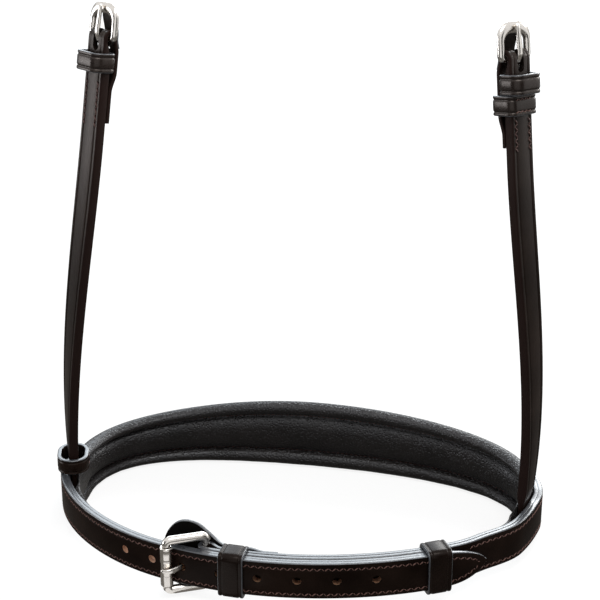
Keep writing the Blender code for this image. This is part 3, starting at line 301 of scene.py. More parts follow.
PLAN = plan_points()
PLAN_CLOSED = np.concatenate([PLAN, PLAN[:1]])
PLAN_LENGTHS = np.concatenate([[0.0], np.cumsum(np.linalg.norm(np.diff(PLAN_CLOSED, axis=0), axis=1))])
PERIMETER = float(PLAN_LENGTHS[-1])
PLAN_CENTRE = (PLAN.min(axis=0) + PLAN.max(axis=0)) / 2


def plan_xy(place):
    place = place % PERIMETER
    return np.array([np.interp(place, PLAN_LENGTHS, PLAN_CLOSED[:, axis]) - PLAN_CENTRE[axis] + SHIFT[axis]
                     for axis in (0, 1)])


def plan_frame(place):
    """Point on the band's outer face, the way along the band, and the way out of it."""
    reach = PERIMETER / PLAN_SAMPLES / 2
    along = plan_xy(place + reach) - plan_xy(place - reach)
    along = along / np.linalg.norm(along)
    return plan_xy(place), along, np.array([along[1], -along[0]])


def spot(place, inward, height):
    point, _, out = plan_frame(place)
    return Vector((*(point - out * inward), height))


def nose_height(place):
    from_nose = place % PERIMETER - PERIMETER / 2
    reach = NOSE_CROWN_LEFT_REACH if from_nose > 0 else NOSE_CROWN_RIGHT_REACH
    crown = math.cos(math.pi / 2 * min(1.0, abs(from_nose) / reach)) ** 2
    return NOSE_END_HEIGHT + (NOSE_MID_HEIGHT - NOSE_END_HEIGHT) * crown


def strap_heights(place):
    return STRAP_LOW, STRAP_HIGH


def band_heights(place):
    """Low and high edge of the band, which widens at the nose."""
    from_front = min(place % PERIMETER, PERIMETER - place % PERIMETER)
    share = smoothstep(from_front, NOSE_WIDEN_FROM, NOSE_WIDEN_FROM + NOSE_WIDEN_LENGTH)
    low = STRAP_LOW + (NOSE_LEATHER_LOW - STRAP_LOW) * share
    return low, STRAP_HIGH + (nose_height(place) - NOSE_LEATHER_BELOW_ROLL - STRAP_HIGH) * share


def billet_heights(place):
    """Low and high edge of the free end, up to its point."""
    share = min(max((place - POINT_START) / BILLET_POINT_LENGTH, 0.0), 1.0)
    half = max(STRAP_WIDTH / 2 * (1 - share ** 2.2) ** 0.62, BILLET_TIP_HEIGHT / 2)
    return STRAP_MIDDLE - half, STRAP_MIDDLE + half


def lining_heights(place):
    """The lining of the free end stops just short of the point's outline."""
    low, high = billet_heights(place)
    inset = LINING_INSET * smoothstep(place, POINT_START - 2.0 * MM, BILLET_TIP - 12.0 * MM)
    inset = min(inset, (high - low) * 0.3)
    return low + inset, high - inset


def billet_stations(end, steps=26):
    """Places along the free end, closer together towards its point."""
    point = [POINT_START + BILLET_POINT_LENGTH * math.sin(math.pi / 2 * step / steps)
             for step in range(steps, 0, -1)]
    return point + spread(POINT_START, end, FINE_PITCH)


def fixed_inward(place):
    """Inward place of the strap under the free end, which comes out to the band's face behind its point."""
    return FIXED_INWARD * (1 - smoothstep(place, BILLET_TIP + 0.5 * MM, BILLET_TIP + STRAP_MERGE_LENGTH))


def return_inward(place):
    """Inward place of the leather turned back behind the heel bar."""
    tight = FIXED_INWARD + DOUBLE_LEATHER
    open_share = 1 - smoothstep(place, HEEL_PLACE, HEEL_PLACE + RETURN_EASE)
    return tight + (HEEL_INWARD + TURN_RADIUS - tight) * open_share


def band_inward(place):
    return fixed_inward(place) if place < PERIMETER / 2 else 0.0


# Mesh helpers

# The lighter, blue-grey edge materials are partly wear and partly a painted sheen; the hanger's edge material
# is its dyed cut
EDGES = {}  # a leather's name, and the material of its worn edges


def placed(name, data):
    item = bpy.data.objects.new(name, data)
    bpy.context.scene.collection.objects.link(item)
    return item


def mesh_object(name, points, faces, material):
    mesh = bpy.data.meshes.new(name)
    mesh.from_pydata([tuple(point) for point in points], [], faces)
    mesh.materials.append(material)
    return placed(name, mesh)


def face_outwards(mesh):
    form = bmesh.new()
    form.from_mesh(mesh)
    bmesh.ops.recalc_face_normals(form, faces=form.faces)
    form.to_mesh(mesh)
    form.free()


def tube_faces(sides, count, closed=False, base=0):
    """Faces round a run of rings, with two caps unless the run is closed on itself."""
    corners = ((0, 0), (0, 1), (1, 1), (1, 0))
    faces = [tuple(base + (near + ring) % count * sides + (index + side) % sides for ring, side in corners)
             for near in range(count if closed else count - 1) for index in range(sides)]
    caps = () if closed else (0, (count - 1) * sides)
    return faces + [tuple(range(base + start, base + start + sides)) for start in caps]


def shade(mesh):
    mesh.shade_smooth()
    mesh.set_sharp_from_angle(angle=math.radians(SHARP_ANGLE_DEG))


def solid(name, rings, material, closed=False, wear_and_sheen=None):
    """One smooth body through rings of points. The wear list holds each point's share of rubbed edge and
    painted sheen.
    """
    points = [point for ring in rings for point in ring]
    item = mesh_object(name, points, tube_faces(len(rings[0]), len(rings), closed), material)
    mesh = item.data
    face_outwards(mesh)
    shares = [share for ring in wear_and_sheen for share in ring] if wear_and_sheen else [0.0] * len(points)
    mesh.attributes.new("wear_and_sheen", "FLOAT", "POINT").data.foreach_set("value", shares)
    if wear_and_sheen and material.name in EDGES:
        mesh.materials.append(EDGES[material.name])
        for face in mesh.polygons:
            face.material_index = int(min(shares[vertex] for vertex in face.vertices) > WORN_AND_SHEEN_EDGE)
    shade(mesh)
    return item


def fit(piece, cad_node, body="band"):
    """Puts a piece in the place of its solid and on the body that it moves with."""
    if cad_node:
        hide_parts(cad_node)
    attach(piece, body)
    return piece


def leather_profile(depth, low, high, lines, edge, back_edge, crown=0.0):
    """Depth, place and share of rubbed edge and painted sheen round a leather section, its face first, from
    low to high.

    lines are (place, depth, half width) of the pressed lines in its face.
    """
    edge = min(edge, depth * 0.45, (high - low) * 0.3)
    back_edge = min(back_edge, depth * 0.3, (high - low) * 0.3)
    eased = [(edge - edge * math.sin(math.radians(angle)), edge - edge * math.cos(math.radians(angle)), wear_and_sheen)
             for angle, wear_and_sheen in ((0, 1.0), (25, 1.0), (50, 0.85), (72, 0.45), (90, 0.12))]
    bevel = ((depth - back_edge, 0.0, 1.0), (depth - back_edge * 0.3, back_edge * 0.3, 0.7),
             (depth, back_edge, 0.1))
    groove = ((0.0, -1.6), (0.25, -0.9), (0.85, -0.4), (1.0, 0.0), (0.85, 0.4), (0.25, 0.9), (0.0, 1.6))
    face = [(inside, low + rise, wear_and_sheen) for inside, rise, wear_and_sheen in eased]
    for at, deep, half in lines:
        face += [(deep * share, at + half * reach, 0.0) for share, reach in groove]
    face += [(inside, high - rise, wear_and_sheen) for inside, rise, wear_and_sheen in reversed(eased)]
    back = [(inside, high - rise, wear_and_sheen) for inside, rise, wear_and_sheen in bevel]
    back += [(inside, low + rise, wear_and_sheen) for inside, rise, wear_and_sheen in reversed(bevel)]
    middle, half = (low + high) / 2, (high - low) / 2
    return [(inside - crown * max(0.0, 1 - ((place - middle) / half) ** 2), place, wear_and_sheen)
            for inside, place, wear_and_sheen in face] + back


def strap_lines(low, high):
    """The two stitch channels of a strap."""
    return ((low + ROW_FROM_BOTTOM, CHANNEL_DEPTH, CHANNEL_HALF_WIDTH),
            (high - ROW_FROM_TOP, CHANNEL_DEPTH, CHANNEL_HALF_WIDTH))


@functools.cache
def point_path():
    """The stitch row on the free end: its outline moved inwards, from the upper row to the lower one."""
    ahead = 0.02 * MM
    sides = []
    for sign, margin in ((1, ROW_FROM_TOP), (-1, ROW_FROM_BOTTOM)):
        line = []
        for step in range(1, POINT_SAMPLES):
            share = math.sin(math.pi / 2 * step / POINT_SAMPLES)
            place = POINT_START + BILLET_POINT_LENGTH * share
            half, after = ((high - low) / 2 for low, high in map(billet_heights, (place, place + ahead)))
            slope = (after - half) / ahead
            inset = (margin + (ROW_FROM_TIP - margin) * share) / math.hypot(1.0, slope)
            place += inset * slope
            if half - inset > 0.5 * MM and place > (line[-1][0] if line else POINT_START):
                line.append((place, STRAP_MIDDLE + sign * (half - inset)))
        sides.append(line)
    path = np.array(sides[0] + sides[1][::-1])
    for _ in range(30):
        path[1:-1] = (path[:-2] + 2 * path[1:-1] + path[2:]) / 4
    return path.tolist()


def point_lines(place):
    """The two channels on the free end, which fade where they meet."""
    upper = [point for point in point_path() if point[1] > STRAP_MIDDLE]
    lower = [point for point in point_path() if point[1] <= STRAP_MIDDLE][::-1]
    bottom, top = (float(np.interp(place, *zip(*side))) for side in (lower, upper))
    low, high = billet_heights(place)
    middle, width = (low + high) / 2, high - low
    near = width * 0.12
    far = width * 0.30 if width < 12.0 * MM else math.inf
    bottom = max(min(bottom, middle - near), middle - far)
    top = min(max(top, middle + near), middle + far)
    deep = CHANNEL_DEPTH * min(1.0, max(0.0, (min(upper[-1][0], lower[-1][0]) - place) / (3.0 * MM)))
    half = min(CHANNEL_HALF_WIDTH, (top - bottom) / 4)
    return (bottom, deep, half), (top, deep, half)


def soft_noise(x, y, z, scale):
    return noise.noise(Vector((x, y, z)) * scale)


class Strip:
    """Gathers the sections of one piece of leather."""

    def __init__(self):
        self.rings, self.wear_and_sheen = [], []

    def add(self, face, across, inward, profile):
        self.rings.append([face + across * place + inward * inside for inside, place, _ in profile])
        self.wear_and_sheen.append([wear_and_sheen for _, _, wear_and_sheen in profile])

    def add_upright(self, grain, inward, profile):
        self.add(level(grain), UP, level(inward), profile)

    def build(self, name, material):
        return solid(name, self.rings, material, wear_and_sheen=self.wear_and_sheen)


def carve(item, cutters):
    """Cuts the cutters out of a piece; their material lines the cut."""
    for cutter in cutters:
        modifier = item.modifiers.new("cut", "BOOLEAN")
        modifier.operation = "DIFFERENCE"
        modifier.object = cutter
        modifier.solver = "EXACT"
        modifier.material_mode = "TRANSFER"
    bpy.context.view_layer.update()
    graph = bpy.context.evaluated_depsgraph_get()
    fresh = bpy.data.meshes.new_from_object(item.evaluated_get(graph), depsgraph=graph)
    item.modifiers.clear()
    item.data = fresh
    shade(fresh)
    for cutter in cutters:
        bpy.data.objects.remove(cutter, do_unlink=True)
    return item


# Materials

def feed(tree, socket, value):
    """Links a socket to another one, or sets its constant."""
    if isinstance(value, bpy.types.NodeSocket):
        tree.links.new(value, socket)
    elif socket.type == "RGBA":
        socket.default_value = (*value, 1.0)
    else:
        socket.default_value = value


def node(tree, kind, inputs=None, **settings):
    made = tree.nodes.new(kind)
    for key, value in settings.items():
        setattr(made, key, value)
    for key, value in (inputs or {}).items():
        feed(tree, made.inputs[key], value)
    return made


def new_material(name):
    material = bpy.data.materials.new(name)
    material.use_nodes = True
    return material, material.node_tree


def object_place(tree):
    return node(tree, "ShaderNodeTexCoord").outputs["Object"]


def unlit(tree, shader):
    """Puts another shader in the place of the usual one."""
    tree.nodes.remove(tree.nodes["Principled BSDF"])
    feed(tree, tree.nodes["Material Output"].inputs["Surface"], shader.outputs[0])


def dress(tree, inputs):
    for key, value in inputs.items():
        feed(tree, tree.nodes["Principled BSDF"].inputs[key], value)


def cloud(tree, place, scale, detail=2.0, roughness=0.5):
    return node(tree, "ShaderNodeTexNoise",
                {"Vector": place, "Scale": scale, "Detail": detail, "Roughness": roughness})


def mixed(tree, factor, first, second, blend="MIX"):
    return node(tree, "ShaderNodeMix", {0: factor, 6: first, 7: second}, data_type="RGBA",
                blend_type=blend).outputs[2]


def ramp(tree, source, start, end, low=0.0, high=1.0):
    """A grey ramp from one stop to another."""
    made = node(tree, "ShaderNodeValToRGB", {0: source})
    for element, place, value in zip(made.color_ramp.elements, (start, end), (low, high)):
        element.position = place
        element.color = (value, value, value, 1.0)
    return made.outputs[0]


def scaled(tree, source, low, high):
    return node(tree, "ShaderNodeMapRange", {0: source, 3: low, 4: high}).outputs[0]


def maths(tree, operation, *values):
    return node(tree, "ShaderNodeMath", dict(enumerate(values)), operation=operation).outputs[0]


def bump(tree, strength, distance, height):
    return node(tree, "ShaderNodeBump",
                {"Strength": strength, "Distance": distance, "Height": height}).outputs["Normal"]


def leather_material(name, base, light, edge, rough, grain_size, grain_depth, crease=0.25, coat=0.0,
                     sheen=0.0, gloss=0.12, blotch_size=24.0 * MM, tint=(1.0, 0.90, 0.84), relief=0.55):
    """Grained leather: cells and creases in the bump, blotches in the colour, and lighter edges, partly
    rubbed wear and partly a painted sheen.
    """
    material, tree = new_material(name)
    place = object_place(tree)
    fine = cloud(tree, place, 0.45 / grain_size, 6.0, 0.62)
    blotch = cloud(tree, place, 1 / blotch_size, 4.0).outputs["Fac"]
    wrinkle = cloud(tree, place, 190.0, 3.0).outputs["Fac"]
    warp = node(tree, "ShaderNodeVectorMath",
                {0: fine.outputs["Color"], 1: (grain_size * 0.9,) * 3, 2: place},
                operation="MULTIPLY_ADD").outputs[0]
    cells = node(tree, "ShaderNodeTexVoronoi", {"Vector": warp, "Scale": 1 / grain_size}).outputs["Distance"]
    fine = fine.outputs["Fac"]
    # The edge colour mixed in along the wear attribute lightens the edges: partly rubbed wear, partly a
    # painted sheen
    worn_and_sheen = node(tree, "ShaderNodeAttribute", attribute_name="wear_and_sheen").outputs["Fac"]
    colour = mixed(tree, ramp(tree, blotch, 0.36, 0.66), base, light)
    colour = mixed(tree, 0.55, colour, ramp(tree, cells, 0.05, 0.42, 0.62), "MULTIPLY")
    rub_and_sheen = maths(tree, "MULTIPLY", worn_and_sheen, scaled(tree, fine, 0.55, 1.1))
    height = maths(tree, "MULTIPLY_ADD", wrinkle, crease, ramp(tree, cells, 0.0, 0.55))
    dress(tree, {
        "Base Color": mixed(tree, rub_and_sheen, colour, edge),
        "Roughness": maths(tree, "ADD", scaled(tree, fine, rough - 0.10, rough + 0.12),
                           scaled(tree, worn_and_sheen, 0.0, -0.06)),
        "Normal": bump(tree, relief, grain_depth, height),
        "IOR": 1.5, "Specular IOR Level": gloss, "Specular Tint": tint,
    })
    if coat:
        dress(tree, {"Coat Weight": coat, "Coat Roughness": 0.32, "Coat IOR": 1.5})
    if sheen:
        dress(tree, {"Sheen Weight": sheen, "Sheen Roughness": 0.5})
    return material


def steel_material():
    """Polished steel with faint brushing and a little tarnish."""
    material, tree = new_material("polished_steel")
    place = object_place(tree)
    smear = cloud(tree, place, 240.0, 5.0).outputs["Fac"]
    scratch = cloud(tree, place, 2600.0).outputs["Fac"]
    colour = mixed(tree, ramp(tree, smear, 0.40, 0.70), (0.73, 0.695, 0.655), (0.66, 0.625, 0.59))
    dress(tree, {"Base Color": colour, "Metallic": 1.0, "Roughness": scaled(tree, smear, 0.17, 0.24),
                 "Normal": bump(tree, 0.015, 0.01 * MM, scratch)})
    return material


def thread_material(name, first, second):
    """Waxed twisted thread: two tones in a fine spiral."""
    material, tree = new_material(name)
    place = object_place(tree)
    ply = node(tree, "ShaderNodeTexWave", {"Vector": place, "Scale": 900.0, "Distortion": 2.0},
               wave_type="BANDS", bands_direction="DIAGONAL").outputs["Fac"]
    colour = mixed(tree, cloud(tree, place, 160.0).outputs["Fac"], first, second)
    dress(tree, {"Base Color": mixed(tree, 0.35, colour, ramp(tree, ply, 0.1, 0.7, 0.45), "MULTIPLY"),
                 "Roughness": 0.55, "Normal": bump(tree, 0.5, 0.08 * MM, ply)})
    return material


STRAP = leather_material("bridle_leather", (0.0062, 0.0031, 0.0021), (0.0145, 0.0080, 0.0056),
                         (0.020, 0.014, 0.012), 0.34, 0.75 * MM, 0.07 * MM, gloss=0.06)
HANGER = leather_material("hanger_leather", (0.0075, 0.0040, 0.0030), (0.0165, 0.0098, 0.0075),
                          (0.020, 0.010, 0.008), 0.38, 0.75 * MM, 0.06 * MM, gloss=0.26)
CUT = leather_material("dyed_cut", (0.0095, 0.0048, 0.0040), (0.0190, 0.0100, 0.0084),
                       (0.0170, 0.0090, 0.0076), 0.58, 0.60 * MM, 0.06 * MM, gloss=0.08)
KEEPER = leather_material("keeper_leather", (0.0066, 0.0034, 0.0024), (0.0145, 0.0080, 0.0058),
                          (0.020, 0.017, 0.016), 0.26, 0.70 * MM, 0.015 * MM, gloss=0.12)
# A lighter copy of the keeper leather for the hanger keepers and the lower loop: painted light where they
# face the side lamps
KEEPER_PAINTED_LIGHTER = leather_material("keeper_leather_painted_lighter", (0.0105, 0.0068, 0.0056), (0.0215, 0.0150, 0.0128),
                                (0.030, 0.026, 0.025), 0.28, 0.70 * MM, 0.015 * MM, gloss=0.34)
LINING = leather_material("lining_leather", (0.0050, 0.0032, 0.0024), (0.0110, 0.0074, 0.0058),
                          (0.014, 0.011, 0.010), 0.46, 0.65 * MM, 0.08 * MM)
GUARD = leather_material("guard_leather", (0.0022, 0.0018, 0.0017), (0.0045, 0.0038, 0.0036),
                         (0.010, 0.010, 0.011), 0.60, 0.55 * MM, 0.06 * MM, gloss=0.05)
PADDING = leather_material("padding_leather", (0.0052, 0.0036, 0.0031), (0.0108, 0.0080, 0.0073),
                           (0.024, 0.021, 0.021), 0.36, 1.30 * MM, 0.30 * MM, crease=0.4, sheen=0.04,
                           gloss=0.44, tint=(0.92, 0.95, 1.0), relief=1.0)
RAW = leather_material("cut_leather", (0.260, 0.125, 0.070), (0.520, 0.290, 0.180),
                       (0.250, 0.150, 0.090), 0.75, 0.5 * MM, 0.05 * MM, gloss=0.4, blotch_size=3.0 * MM)
# Edge material: lighter and blue-grey, a painted sheen of the pale surroundings over the coated, burnished
# edge
EDGE = leather_material("burnished_edge_painted_sheen", (0.040, 0.042, 0.047), (0.065, 0.069, 0.077),
                        (0.060, 0.064, 0.073), 0.34, 1.6 * MM, 0.02 * MM, gloss=0.7, coat=0.7,
                        tint=(0.90, 0.95, 1.0))
EDGES.update({leather.name: EDGE for leather in (STRAP, KEEPER, KEEPER_PAINTED_LIGHTER, LINING, GUARD)})
EDGES[HANGER.name] = CUT
HANGER_THREAD = thread_material("hanger_thread", (0.055, 0.022, 0.018), (0.105, 0.046, 0.038))
THREAD = thread_material("thread", (0.115, 0.050, 0.041), (0.215, 0.112, 0.090))
PAD_THREAD = thread_material("pad_thread", (0.070, 0.024, 0.019), (0.110, 0.042, 0.034))
STEEL = steel_material()


# Straps

def make_band():
    """The outer leather, from its point round the nose to the turn at the buckle."""
    strip = Strip()

    def add(grain, inward, heights, lines=None, depth=CLOSED_LEATHER):
        profile = leather_profile(depth, *heights, lines or strap_lines(*heights), *STRAP_FINISH)
        strip.add_upright(grain, inward, profile)

    for place in billet_stations(POINT_START - STATION_PITCH):
        point, _, out = plan_frame(place)
        thin = 1 - POINT_SKIVE_SHARE * smoothstep(place, POINT_START, BILLET_TIP - 5.0 * MM)
        add(point, -out, billet_heights(place), point_lines(place), CLOSED_LEATHER * thin)
    merge_end = BILLET_TIP + STRAP_MERGE_LENGTH
    for place in spread(POINT_START - 2 * STATION_PITCH, merge_end - PERIMETER, FINE_PITCH):
        point, _, out = plan_frame(place)
        add(point, -out, band_heights(place))
    for place in spread(merge_end, HEEL_PLACE, FINE_PITCH)[1:]:
        point, _, out = plan_frame(place)
        near_turn = smoothstep(place, HEEL_PLACE - 24.0 * MM, HEEL_PLACE - 12.0 * MM)
        add(point - out * fixed_inward(place), -out, strap_heights(place),
            depth=CLOSED_LEATHER + (LEATHER - CLOSED_LEATHER) * near_turn)
    point, along, out = plan_frame(HEEL_PLACE)
    for step in range(1, 2 * ARC_STEPS):
        turn = math.pi * step / (2 * ARC_STEPS)
        away = out * math.cos(turn) - along * math.sin(turn)
        add(point - out * HEEL_INWARD + away * TURN_RADIUS, -away, strap_heights(HEEL_PLACE), depth=LEATHER)
    for place in spread(HEEL_PLACE, RETURN_END, FINE_PITCH):
        point, _, out = plan_frame(place)
        add(point - out * return_inward(place), out, strap_heights(place), depth=LEATHER)
    band = strip.build("strap_outer", STRAP)
    slot_cutter = chin_slot_cutter()
    carve(band, hole_cutters() + [slot_cutter])
    fit(band, "band_leather")


def hole_cutters():
    """Round cutters; a hole's wall is near-black at its rim, painted shade, and raw leather behind it."""
    made = []
    for index in range(-HOLES_BEFORE_TONGUE, HOLES_AFTER_TONGUE + 1):
        place = TONGUE_HOLE_PLACE + index * (HOLE_PITCH_BEFORE_TONGUE if index < 0 else HOLE_PITCH)
        start, shaded_rim_end, end = (spot(place, inward, STRAP_MIDDLE)
                               for inward in (-2.0 * MM, HOLE_SHADED_RIM, DOUBLE_LEATHER + GAP / 2))
        way = (end - start).normalized()
        side = way.cross(UP).normalized()
        up = side.cross(way)
        rings = [[point + (side * math.cos(angle) + up * math.sin(angle)) * (HOLE_DIAMETER / 2)
                  for angle in turns(HOLE_SIDES)] for point in (start, shaded_rim_end, end)]
        # The wall's outer ring takes the near-black guard leather: painted shade in the mouth of the hole
        cutter = solid("cutter", rings, RAW)
        cutter.data.materials.append(GUARD)
        shaded_rim_limit = (shaded_rim_end - start).dot(way) * 0.98
        for face in cutter.data.polygons:
            face.material_index = int((face.center - start).dot(way) < shaded_rim_limit)
        made.append(cutter)
    return made


def chin_slot_cutter():
    """The slot of the chin buckle's tongue, through the turn."""
    along, out = (level(way) for way in plan_frame(HEEL_PLACE)[1:])
    overrun = 2.0 * MM
    start = FIXED_INWARD - GAP / 2
    end = HEEL_INWARD + TURN_RADIUS + overrun
    centre = spot(HEEL_PLACE, (start + end) / 2, STRAP_MIDDLE)
    centre += along * (SLOT_LENGTH - TURN_RADIUS - overrun) / 2
    half_along = (SLOT_LENGTH + TURN_RADIUS + overrun) / 2
    half_up = CHIN_TONGUE_WIDTH / 2 + SLOT_CLEARANCE
    rings = [[centre + UP * sign * half_up + along * a * half_along + out * b * (end - start) / 2
              for a, b in ((-1, -1), (1, -1), (1, 1), (-1, 1))] for sign in (-1, 1)]
    return solid("cutter", rings, LINING)


def make_layer(name, node_name, stations, inward_at, heights_at):
    strip = Strip()
    for place in stations:
        point, _, out = plan_frame(place)
        strip.add_upright(point - out * inward_at(place), -out,
                          leather_profile(LEATHER, *heights_at(place), (), *LINING_EDGES))
    return fit(strip.build(name, LINING), node_name)


def make_linings():
    under = LEATHER + GAP
    billet = make_layer("strap_lining_free", "billet_lining", billet_stations(LEFT_HANGER_PLACE),
                        lambda place: under, lining_heights)
    carve(billet, hole_cutters())
    nose_run = (RIGHT_HANGER_PLACE + GAP, PERIMETER + LEFT_HANGER_PLACE - GAP)
    make_layer("nose_stiffener", "nose_backing", spread(*nose_run, FINE_PITCH),
               lambda place: under, band_heights)
    make_layer("strap_lining_fixed", "buckle_strap_lining",
               spread(RIGHT_HANGER_PLACE, RETURN_END + GAP, FINE_PITCH),
               lambda place: fixed_inward(place) + under, strap_heights)


# Padding

def pad_bump(place):
    """1 where the padding makes room for what is sewn in behind it, 0 elsewhere."""
    room = 0.0
    reach = max(HANGER_WIDTH, SLIP_LOOP_LENGTH) / 2 + STATION_PITCH / 2
    for hanger in (LEFT_HANGER_PLACE, RIGHT_HANGER_PLACE):
        distance = abs((place - hanger + PERIMETER / 2) % PERIMETER - PERIMETER / 2)
        room = max(room, 1 - smoothstep(distance, reach, reach + 2 * STATION_PITCH))
    return room


def smooth_path(points, steps):
    """Catmull-Rom curve through planar points."""
    knots = [np.array(point) for point in (points[0], *points, points[-1])]
    curve = []
    for a, b, c, d in zip(knots, knots[1:], knots[2:], knots[3:]):
        for t in (step / steps for step in range(steps)):
            curve.append(0.5 * (2 * b + (c - a) * t + (2 * a - 5 * b + 4 * c - d) * t ** 2
                                + (3 * b - a - 3 * c + d) * t ** 3))
    return [(float(x), float(y)) for x, y in curve + knots[-1:]]


PAD_START = PAD_RIGHT_TIP
PAD_END = PERIMETER + PAD_LEFT_TIP


def pad_faces(place):
    """Inner and outer inward places, low and high, and fullness of the pad at a place."""
    from_tip = min(place - PAD_START, PAD_END - place)
    full = smoothstep(from_tip, -PAD_TAPER_LENGTH / 6, PAD_TAPER_LENGTH)
    back = band_inward(place) + DOUBLE_LEATHER + GAP
    tail_room = HANGER_ROOT_INWARD + HANGER_TAIL_THICKNESS / 2 - DOUBLE_LEATHER
    outer = back + pad_bump(place) * tail_room
    inner = max(back + PAD_TIP_DEPTH + (PAD_DEPTH - PAD_TIP_DEPTH) * full, outer + PAD_TIP_DEPTH)
    share = smoothstep(from_tip, 0.0, PAD_TAPER_LENGTH)
    high = STRAP_HIGH - PAD_TIP_INSET
    return (inner, outer, (STRAP_LOW + PAD_TIP_INSET) * (1 - share),
            high + (nose_height(place) - high) * share, full)


def eased_depth(depth, full):
    """The padding's relief flattens towards its thin ends."""
    return 1 - (1 - depth) * (0.35 + 0.65 * full)


def make_pad():
    curve = smooth_path(PAD_PROFILE, 4)
    rings = []
    for place in spread(PAD_START, PAD_END, PAD_PITCH):
        inner, outer, low, high, full = pad_faces(place)
        ring = []
        for rise, depth in curve:
            near = max(math.exp(-((rise - at) / width) ** 2) for at, _, width in PAD_CHANNELS)
            gather = math.sin(2 * math.pi * place / PAD_GATHER + 1.5 * rise) * near * (1 - near) * 4
            puff = gather * 0.022 + soft_noise(place * 0.6, rise * 0.02, 0.3, 150.0) * 0.035
            puff += soft_noise(place, rise * 0.03, 1.7, 420.0) * 0.018
            edge = min(1.0, rise / 0.03, (1 - rise) / 0.03)
            inward = outer + (inner - outer) * (eased_depth(depth, full) + (puff * full - 0.02) * edge)
            ring.append(spot(place, inward, low + (high - low) * rise))
        rings.append(ring + [spot(place, outer, high - (high - low) * 0.03), spot(place, outer, low)])
    # The top of the upper roll takes the lighter edge colour: a painted highlight along its top
    wear_and_sheen = [smoothstep(rise, 0.90, 0.99) * 0.4 for rise, _ in curve] + [0.0, 0.0]
    pad = solid("nose_padding", rings, PADDING, wear_and_sheen=[wear_and_sheen] * len(rings))
    fit(pad, "nose_lining")


# Thread

class Thread:
    """Gathers stitches into one mesh."""

    def __init__(self):
        self.points, self.faces = [], []

    def stitch(self, start, end, out, radius):
        """One visible stitch: a short plump capsule whose ends sink into the leather."""
        way = end - start
        along = way.normalized()
        across = out.cross(along).normalized()
        out = along.cross(across)
        stations = ((0.0, 0.35, -0.9), (0.14, 0.85, -0.1), (0.5, 1.0, 0.25), (0.86, 0.85, -0.1),
                    (1.0, 0.35, -0.9))
        self.faces += tube_faces(THREAD_SIDES, len(stations), base=len(self.points))
        for share, girth, rise in stations:
            centre = start + way * share + out * radius * rise
            self.points += [centre + (across * math.cos(angle) + out * math.sin(angle)) * radius * girth
                            for angle in turns(THREAD_SIDES)]

    def row(self, spots, outs, pitch=STITCH_PITCH, length=STITCH_LENGTH, radius=STITCH_RADIUS,
            slant=STITCH_SLANT):
        """Slanted stitches at an even pitch along a line of close points, with thinner ones between them."""
        lengths = np.concatenate([[0.0], np.cumsum([(b - a).length for a, b in zip(spots, spots[1:])])])
        grid, facing = (np.array([tuple(way) for way in ways]) for ways in (spots, outs))

        def at(reach, table):
            return Vector([float(np.interp(reach, lengths, table[:, axis])) for axis in range(3)])

        count = int(lengths[-1] / pitch)
        for index in range(count):
            middle = (index + 0.5) * pitch
            start, end = (at(middle + sign * length / 2, grid) for sign in (-1, 1))
            out = at(middle, facing).normalized()
            lean = out.cross(end - start).normalized() * slant / 2
            self.stitch(start - lean, end + lean, out, radius)
            if slant > 0.5 * MM and index < count - 1:
                after = at(min(middle + pitch - length / 2, lengths[-1]), grid)
                self.stitch(end + lean * 0.9, after - lean * 0.9, out, radius * 0.72)

    def build(self, name, material, slot="strap_leather"):
        item = mesh_object(name, self.points, self.faces, material)
        face_outwards(item.data)
        item.data.shade_smooth()
        return fit(item, None)


def stitch_band():
    thread = Thread()
    places = spread(BILLET_TIP - 8.0 * MM, PERIMETER + POINT_START, 1.0 * MM)
    for line in (1, 0):
        heights = [strap_lines(*band_heights(place))[line][0] for place in places]
        spots = [spot(place, band_inward(place) + CHANNEL_DEPTH * 0.55, height)
                 for place, height in zip(places, heights)]
        thread.row(spots, [level(plan_frame(place)[2]) for place in places])
    spots = [spot(place, CHANNEL_DEPTH * 0.55, height) for place, height in point_path()]
    thread.row(spots, [level(plan_frame(place)[2]) for place, _ in point_path()])
    return thread


def stitch_pad():
    thread = Thread()
    places = spread(PAD_START + 8 * MM, PAD_END - 8 * MM, 1.5 * MM)
    for rise, depth, _ in PAD_CHANNELS:
        spots = []
        for place in places:
            inner, outer, low, high, full = pad_faces(place)
            inward = outer + (inner - outer) * eased_depth(depth, full) + 0.05 * MM
            spots.append(spot(place, inward, low + (high - low) * rise))
        outs = [level(-plan_frame(place)[2]) for place in places]
        thread.row(spots, outs, pitch=2.7 * MM, length=1.9 * MM, radius=0.2 * MM, slant=0.1 * MM)
    thread.build("pad_stitches", PAD_THREAD, slot="padding_leather")


# Loops and keepers

def corner_arcs(width, height, radii, steps=ARC_STEPS):
    """Corner arcs of a rectangle about its centre, anticlockwise from the lower right corner."""
    points = []
    corners = ((1, -1, -90), (1, 1, 0), (-1, 1, 90), (-1, -1, 180))
    for (x_sign, y_sign, start), radius in zip(corners, radii):
        for angle in (math.radians(start + 90 * step / steps) for step in range(steps + 1)):
            points.append((x_sign * (width / 2 - radius) + radius * math.cos(angle),
                           y_sign * (height / 2 - radius) + radius * math.sin(angle)))
    return points


def rounded_rectangle(width, height, radii, flat=3):
    """Corner arcs with points on the straight sides between them."""
    points = corner_arcs(width, height, radii)
    size = len(points) // 4
    full = []
    for index in range(4):
        full += points[index * size:(index + 1) * size]
        a, b = full[-1], points[(index + 1) * size % len(points)]
        full += [(a[0] + (b[0] - a[0]) * step / (flat + 1), a[1] + (b[1] - a[1]) * step / (flat + 1))
                 for step in range(1, flat + 1)]
    return full


